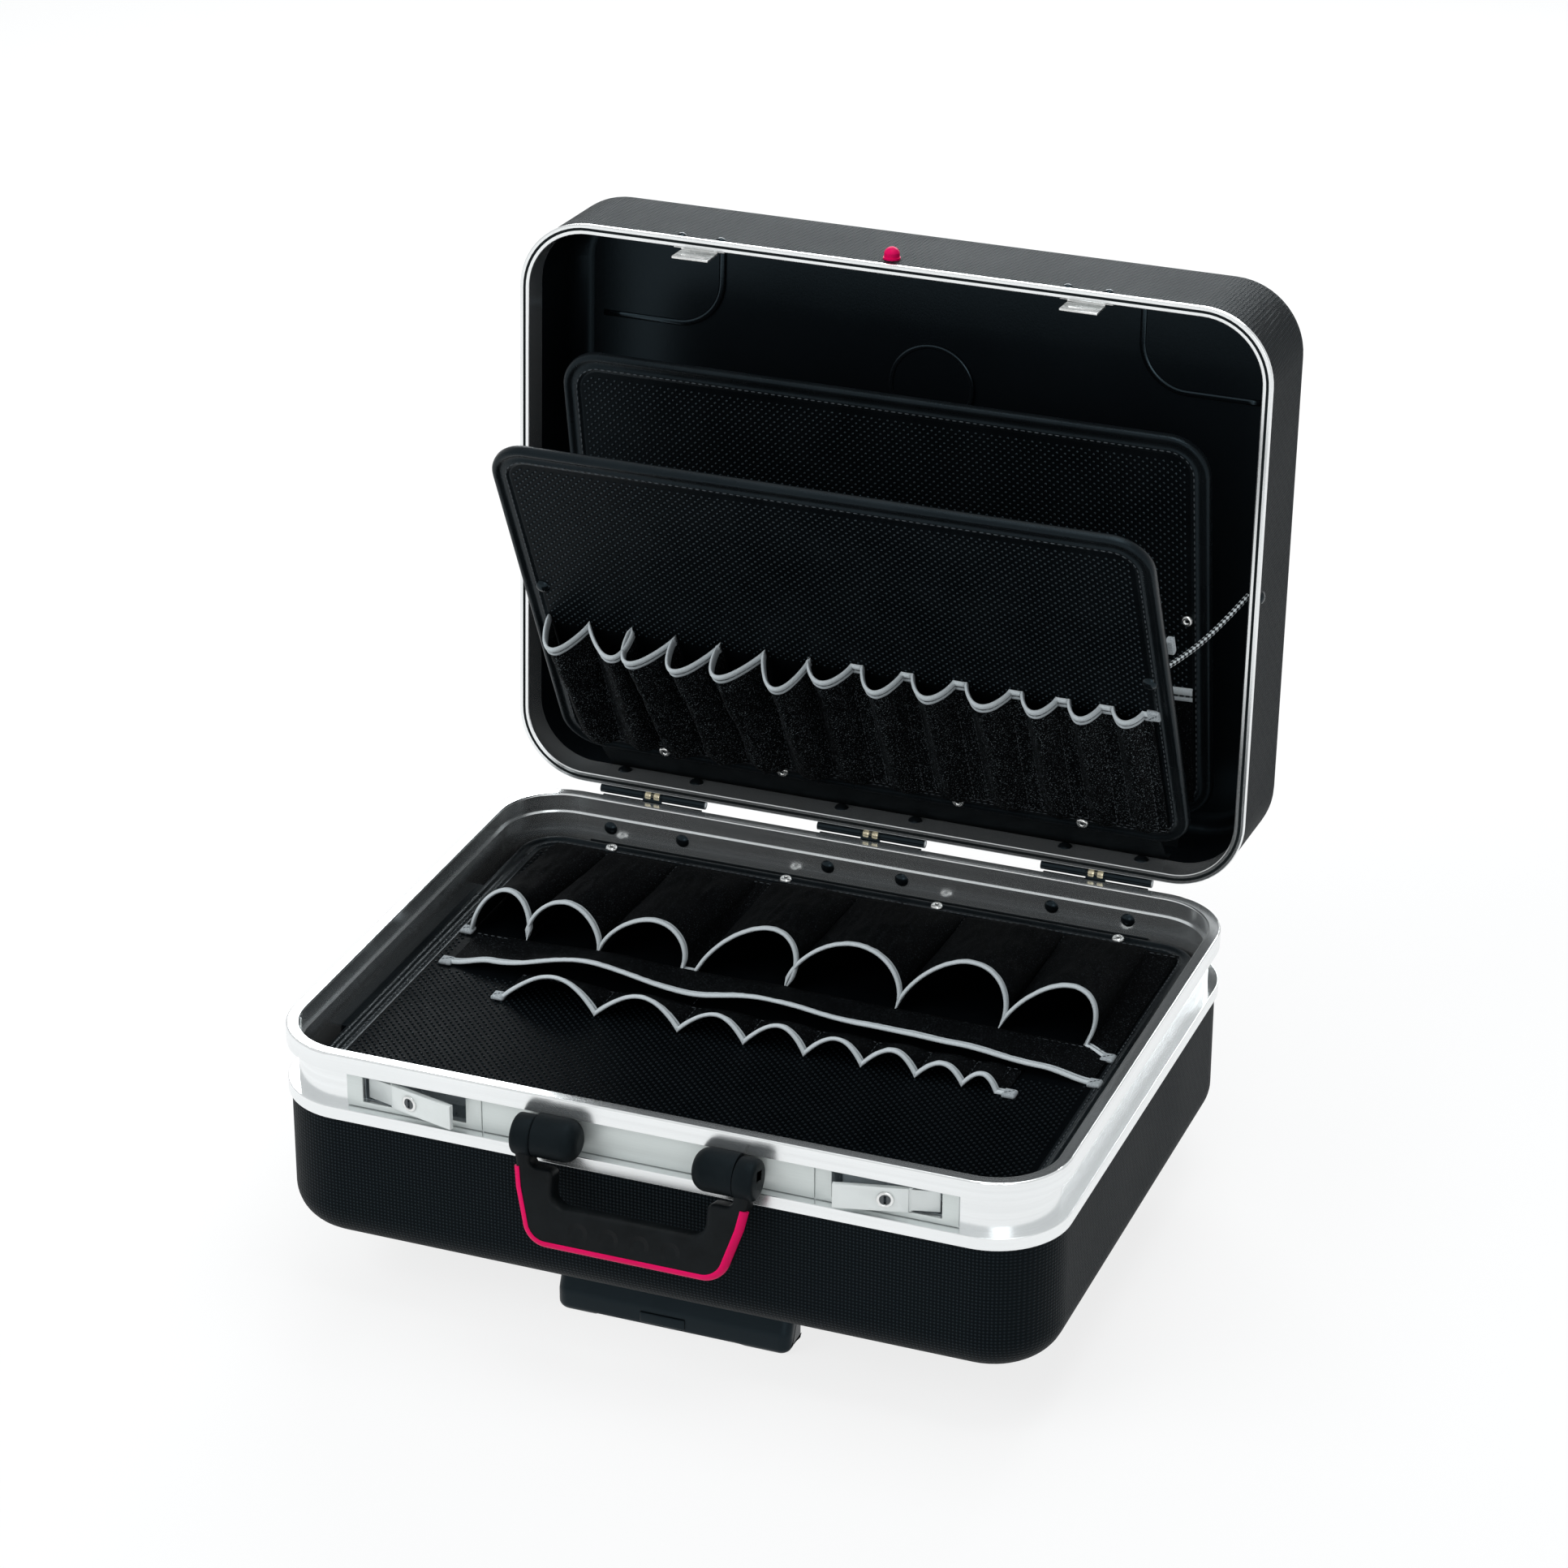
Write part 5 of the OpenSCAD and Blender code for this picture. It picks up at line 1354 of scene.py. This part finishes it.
def turned_pieces(name, profile, places, material, body, sides=32, dark=None, dark_inside=0.0):
    """One mesh of a turned form at several places. Its profile is (radius, height) along z."""
    round_it = [(2 * math.pi * k / sides) for k in range(sides)]
    vertices, faces, darker = [], [], []
    for place in places:
        faces += grid_faces(len(profile), sides, first=len(vertices))
        for r, h in profile:
            vertices += [place @ Vector((r * math.cos(a), r * math.sin(a), h)) for a in round_it]
        for (r0, _), (r1, _) in zip(profile, profile[1:]):
            darker += [max(r0, r1) <= dark_inside] * sides
    piece = new_piece(name, vertices, faces, material)
    if dark:
        piece.data.materials.append(dark)
        for face, is_dark in zip(piece.data.polygons, darker):
            face.material_index = 1 if is_dark else 0
    return hand_over(outward(piece, 1e-6), body, sharp=50)


def facing_place(point, direction):
    return Matrix.Translation(point) @ Vector(direction).to_track_quat("Z", "Y").to_matrix().to_4x4()


def handle_dimples():
    """Soft-touch finish with four shallow round dimples pressed into the front of the grip."""
    material, tree, shader = new_material("handle_rubber")
    coordinates, (x, _, z) = object_place(tree)
    clouds = spread(tree, grain(tree, coordinates, 60, 4), 0.25, 0.75)
    link(tree, ramp(tree, clouds, *SOFT_TOUCH), shader.inputs["Base Color"])
    link(tree, ramp(tree, clouds, 0.40, 0.56), shader.inputs["Roughness"])
    shader.inputs["Specular IOR Level"].default_value = 0.12
    pitch, middle = 0.0192, 0.1027
    cell = math_node(tree, "FLOORED_MODULO", math_node(tree, "ADD", x, 2 * pitch), pitch)
    turn_x = math_node(tree, "SUBTRACT", cell, pitch / 2)
    rise_z = math_node(tree, "SUBTRACT", z, middle)
    squares = [math_node(tree, "POWER", math_node(tree, "ABSOLUTE", part), 2) for part in (turn_x, rise_z)]
    far = math_node(tree, "SQRT", math_node(tree, "ADD", *squares))
    wall = spread(tree, far, 0.0035, 0.0062)
    beyond = math_node(tree, "GREATER_THAN", math_node(tree, "ABSOLUTE", x), 2 * pitch)
    height = math_node(tree, "MAXIMUM", wall, beyond)
    grit = math_node(tree, "MULTIPLY", grain(tree, coordinates, 420, 3), 0.12)
    bump(tree, shader, math_node(tree, "ADD", height, grit), 0.0014)
    return material


handle_rubber = handle_dimples()
handle_body()
cap = [(0.0, 0.0), (0.0110, 0.0), (0.0120, 0.0005), (0.0125, 0.0015), (0.0125, 0.0100),
       (0.0121, 0.0113), (0.0112, 0.0121), (0.0098, 0.0125), (0.0, 0.0125)]
arm_ends = [facing_place((s * 0.063, PIVOT_Y, PIVOT_Z), (s, 0, 0)) for s in (-1, 1)]
turned_pieces("handle_arm_ends", cap, arm_ends, soft_touch, "handle", 40)


BAND_PROUD, BAND_FOOT = 0.0004, 0.0008
ARM_SLOPE = 0.1746


def handle_band():
    whole = filleted(RIGHT[:2] + LEFT[-2:])
    path = sorted((p for p in whole if p.y < -0.0465), key=lambda p: math.atan2(p.x, -(p.y + 0.02)))
    top = [Vector((0.0755 - drop * ARM_SLOPE, -drop)) for drop in (0.018, 0.030)]
    path = [Vector((-p.x, p.y)) for p in top] + path + list(reversed(top))
    line = []
    for a, b in zip(path, path[1:]):
        count = max(1, int((b - a).length / 0.003))
        line += [a.lerp(b, k / count) for k in range(count)]
    line.append(path[-1])
    proud, r, foot = BAND_PROUD, HANDLE_EDGE, HANDLE_HALF - HANDLE_EDGE - BAND_FOOT
    section = [(-proud, foot)]
    for degrees in range(0, 91, 15):
        a = math.radians(degrees)
        section.append((r - (r + proud) * math.cos(a), HANDLE_HALF - r + (r + proud) * math.sin(a)))
    section += [(r + 0.0002, HANDLE_HALF + proud * 0.6), (r + 0.0002, HANDLE_HALF - 0.0012), (0.0012, foot)]
    vertices = []
    for inset, depth in section:
        vertices += [HANDLE_TURN @ Vector((p.x, -depth, p.y)) for p in inset_path(line, inset, False)]
    faces = grid_faces(len(section), len(line), wrap_rows=True, wrap_columns=False)
    faces += side_caps(len(section), len(line))
    piece = outward(new_piece("handle_crimson_band", vertices, faces, crimson), 1e-7)
    return hand_over(piece, "handle", "handle_stripe", sharp=50)


band = handle_band()
band_places = [v.co for v in band.data.vertices]
print("crimson band reaches", [round(max(p[k] for p in band_places) * 1000, 1) for k in range(3)], "mm")

# %% [markdown]
# ## Rivets, locks and hinge sleeves
# Small turned parts are made from a half section spun round an axis: eyelet rivets with a dark
# hollow middle, bright rings round the locks, and the bare metal sleeve in each hinge's middle.
# Each set is one mesh, since all of its pieces move together.

# %% Eyelet rivets on the boards
def eyelet(radius, height):
    shape = [(0.34, 0.5), (0.48, 0.9), (0.64, 1.0), (0.82, 0.8), (0.95, 0.4), (1.0, 0.0)]
    return [(0.0, 0.0003), (0.26 * radius, 0.0003)] + [(r * radius, h * height) for r, h in shape]


def on_board(place, spots, w=0.0):
    turn_only = place.to_3x3()
    return [facing_place(place @ Vector((u, v, w)), turn_only @ Vector((0, 0, 1))) for u, v in spots]


LID_RIVETS, LID_RIVETS_V = (-0.672, -0.288, 0.274, 0.663), 0.0075
BASE_RIVETS, BASE_RIVETS_V = (-0.754, -0.221, 0.23, 0.759), 0.1695
REAR_RIVETS_U, REAR_RIVETS_V = 0.197, 0.149
EYELET_RISE, EYELET_DARK = 0.0018, 0.36
eyelets = [
    ("front_board", front_place, [(LID_BOARD_HALF * s, LID_RIVETS_V) for s in LID_RIVETS], 0.004),
    ("base_board", base_place, [(BASE_BOARD_HALF * s, BASE_RIVETS_V) for s in BASE_RIVETS], 0.004),
    ("rear_board", rear_place, [(s * REAR_RIVETS_U, REAR_RIVETS_V) for s in (-1, 1)], 0.0036)]
for board, place, spots, radius in eyelets:
    node = board + "_rivets"
    # The hollow middle and its inner wall are black lacquer: painted shade in the eyelet's hole.
    piece = turned_pieces(node + "_eyelets", eyelet(radius, EYELET_RISE), on_board(place, spots, 0.0006),
                          bright_metal, board, 28, black_gloss, EYELET_DARK * radius)
    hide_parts(node)
print("eyelets set")

# %% Lock rings, keyholes and hinge sleeves
def front_of(node):
    """Middle and direction of a piece's front face."""
    total, middle, direction = 0.0, Vector(), Vector()
    for face in nodes[node].data.polygons:
        if face.normal.y < -0.9:
            total += face.area
            middle += face.center * face.area
            direction += face.normal * face.area
    return middle / total, direction.normalized()


ring = [(0.0032, -0.0004), (0.0033, 0.0003), (0.0037, 0.0006), (0.0045, 0.0006), (0.0050, 0.0002),
        (0.0050, -0.0004), (0.0032, -0.0004)]
for side in ("left", "right"):
    middle, direction = front_of("lock_" + side)
    body = body_of["lock_" + side]
    turned_pieces("lock_ring_" + side, ring, [facing_place(middle, direction)], bright_metal, body,
                  32)
    # The keyhole is a flat black lozenge on the lock's face: painted shade for the key slot.
    key = place_copies("keyhole_" + side, [middle + direction * 0.0001], [direction], [Vector((0, 0, 1))],
                       (0.0040, 0.0014, 0.0005), black_gloss, body, 12, 6)
half_sleeve = [(0.0, 0.0052), (0.0029, 0.0052), (0.0033, 0.0048), (0.0033, 0.0014), (0.0030, 0.0011)]
sleeve = [(r, -h) for r, h in half_sleeve] + half_sleeve[::-1]
hinge = Vector(joint["lid_hinge"]["pos_m"])
sleeves = [facing_place((x, hinge.y, hinge.z), (1, 0, 0)) for x in (-0.151, 0, 0.151)]
turned_pieces("hinge_sleeves", sleeve, sleeves, brass_metal, "case", 28)
print("locks and hinges finished")

# %% [markdown]
# ## Pads pressed into the lid
# The lid's inside has a raised pad in each front corner and a round one in the middle. Only
# their rounded edges catch light, so a low rounded welt is swept along each edge, lying on the
# pad. The path is written for the closed lid and then turned with it, as the lid itself is.

# %% Welts round the lid's pads
LID_SWING = Matrix.Rotation(math.radians(LID_OPEN), 4, "X")
LID_TURN = Matrix.Translation(hinge) @ LID_SWING @ Matrix.Translation(-hinge)
LID_INSIDE = 0.1715 + 0.084 - 0.0028
PAD_RISE, WELT_FOOT = 0.0013, 0.0012


def welt(name, path, closed, half=0.0022, rise=0.0011):
    """A low half-round strip on the lid's inner face, along a path of (x, y) on the closed lid."""
    line = [Vector(p) for p in path]
    left = [(-half, 0.0), (-0.8 * half, 0.55 * rise), (-0.4 * half, 0.92 * rise)]
    section = left + [(0.0, rise)] + [(-x, h) for x, h in reversed(left)]
    section += [(half, -WELT_FOOT), (-half, -WELT_FOOT)]
    vertices = []
    for inset, up in section:
        z = LID_INSIDE - PAD_RISE - up
        vertices += [LID_TURN @ Vector((p.x, p.y, z)) for p in inset_path(line, inset, closed)]
    faces = grid_faces(len(section), len(line), wrap_rows=True, wrap_columns=closed)
    if not closed:
        faces += side_caps(len(section), len(line))
    return hand_over(outward(new_piece(name, vertices, faces, shell_welt), 1e-7), "lid")


PAD_X, PAD_Y, PAD_CORNER = 0.140, -0.106, 0.030
ROUND_PAD_X, ROUND_PAD_Y, ROUND_PAD_R = 0.003, -0.086, 0.027
WELT_DARK, WELT_LIGHT = (0.0025, 0.0034, 0.0042), (0.0050, 0.0064, 0.0078)
shell_welt = plastic("satin_welt", WELT_DARK, WELT_LIGHT, (0.16, 0.24), 12, gloss=0.5)
for side, word in ((-1, "left"), (1, "right")):
    bend = [(side * (PAD_X + PAD_CORNER - PAD_CORNER * math.sin(math.radians(a))),
             PAD_Y - PAD_CORNER + PAD_CORNER * math.cos(math.radians(a))) for a in range(0, 91, 6)]
    run = [(side * x, PAD_Y) for x in (0.221, 0.209, 0.197, 0.185)] + bend
    run += [(side * PAD_X, y) for y in (-0.146, -0.156, -0.164)]
    welt("lid_pad_welt_" + word, run, False)
turns = [2 * math.pi * k / 72 for k in range(72)]
circle = [(ROUND_PAD_X + ROUND_PAD_R * math.cos(a), ROUND_PAD_Y + ROUND_PAD_R * math.sin(a)) for a in turns]
welt("lid_pad_welt_round", circle, True, 0.0016, 0.0008)
print("lid pads edged")

# %% [markdown]
# ## Stay cords
# A braided cord on each side stops the front board from falling forward. It is a tube whose
# skin bulges where strands cross, and its weave is a checker of black and pale yarn that winds
# round it. The map that the weave follows runs round and along the cord, so it bends with it.
# Its ends are set at the lid and at the board, and it sags a little between them.

# %% Braided stay cords
STRANDS, WINDING = 2, 900


def braid_material():
    material, tree, shader = new_material("braided_yarn")
    coordinates, _ = object_place(tree)
    split = tree.nodes.new("ShaderNodeSeparateXYZ")
    link(tree, coordinates.outputs["UV"], split.inputs[0])
    round_it = math_node(tree, "MULTIPLY", split.outputs[0], STRANDS * 2 * math.pi)
    along = math_node(tree, "MULTIPLY", split.outputs[1], WINDING)
    one = math_node(tree, "SINE", math_node(tree, "ADD", round_it, along))
    two = math_node(tree, "SINE", math_node(tree, "SUBTRACT", round_it, along))
    crossing = math_node(tree, "MULTIPLY", one, two)
    fuzz = grain(tree, coordinates, 1700, 2)
    uneven = math_node(tree, "ADD", crossing, math_node(tree, "MULTIPLY", fuzz, 0.5))
    pale = spread(tree, uneven, 0.20, 0.40)
    link(tree, ramp(tree, pale, (0.003, 0.004, 0.005), (0.60, 0.64, 0.66)), shader.inputs["Base Color"])
    shader.inputs["Roughness"].default_value = 0.7
    shader.inputs["Specular IOR Level"].default_value = 0.15
    bump(tree, shader, crossing, 0.0003)
    return material


def stay_cord(side, name):
    start = LID_TURN @ Vector((side * 0.2357, -0.007, 0.1815))
    end = front_place @ Vector((side * 0.200, 0.153, -0.0083))
    rings, around, radius = 150, 14, 0.0015
    line = []
    for i in range(rings + 1):
        t = i / rings
        line.append(start.lerp(end, t) - Vector((0, 0, 0.005 * math.sin(math.pi * t))))
    vertices, uv, travelled = [], [], 0.0
    for i, p in enumerate(line):
        along = (line[min(i + 1, rings)] - line[max(i - 1, 0)]).normalized()
        flat = along.cross(Vector((0, 0, 1))).normalized()
        up = flat.cross(along)
        travelled += (p - line[i - 1]).length if i else 0.0
        for k in range(around + 1):
            a = 2 * math.pi * k / around
            wound, turned = STRANDS * a, WINDING * travelled
            swell = 1 + 0.10 * math.sin(wound + turned) * math.sin(wound - turned)
            vertices.append(p + (flat * math.cos(a) + up * math.sin(a)) * radius * swell)
            uv.append((k / around, travelled))
    faces = grid_faces(rings + 1, around + 1, wrap_columns=False)
    faces += [tuple(reversed(range(around))), tuple(rings * (around + 1) + k for k in range(around))]
    piece = outward(new_piece(name + "_braid", vertices, faces, braid, True, uv), 1e-7)
    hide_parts(name)
    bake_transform(piece)
    tip = [(0.0, 0.0), (0.0017, 0.0), (0.0020, 0.0006), (0.0020, 0.0070), (0.0015, 0.0078), (0.0, 0.0078)]
    back = (line[-8] - line[-1]).normalized()
    turned_pieces(name + "_end_sleeve", tip, [facing_place(end - back * 0.001, back)], tape_cloth,
                  "front_board", 20)


def cord_tab(side, word):
    """A folded tab of tape at the board's back edge, which takes the cord's end."""
    path = rounded_path(0.0028, -0.0055, 0.0055, 0.0008, 0.0)
    centre = Vector((side * 0.2122, 0.181, -0.0088))
    rings = [(0.55, -0.0024), (1.0, -0.0018), (1.0, 0.0018), (0.55, 0.0024)]
    vertices = [front_place @ (centre + Vector((w * side, y * (0.9 + 0.1 * k), x * k)))
                for k, w in rings for x, y in path]
    faces = grid_faces(len(rings), len(path)) + end_caps(len(rings), len(path))
    piece = outward(new_piece("cord_tab_" + word, vertices, faces, tape_cloth, False), 1e-7)
    hand_over(piece, "front_board")


braid = braid_material()
cord_tab(-1, "left")
cord_tab(1, "right")
stay_cord(-1, "stay_cord_left")
stay_cord(1, "stay_cord_right")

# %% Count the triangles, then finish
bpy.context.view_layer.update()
meshes = [o.data for o in bpy.data.objects if o.type == "MESH" and o.name != "floor"]
print("triangles:", sum(len(face.vertices) - 2 for mesh in meshes for face in mesh.polygons))
bpy.context.scene.view_settings.view_transform = "Standard"
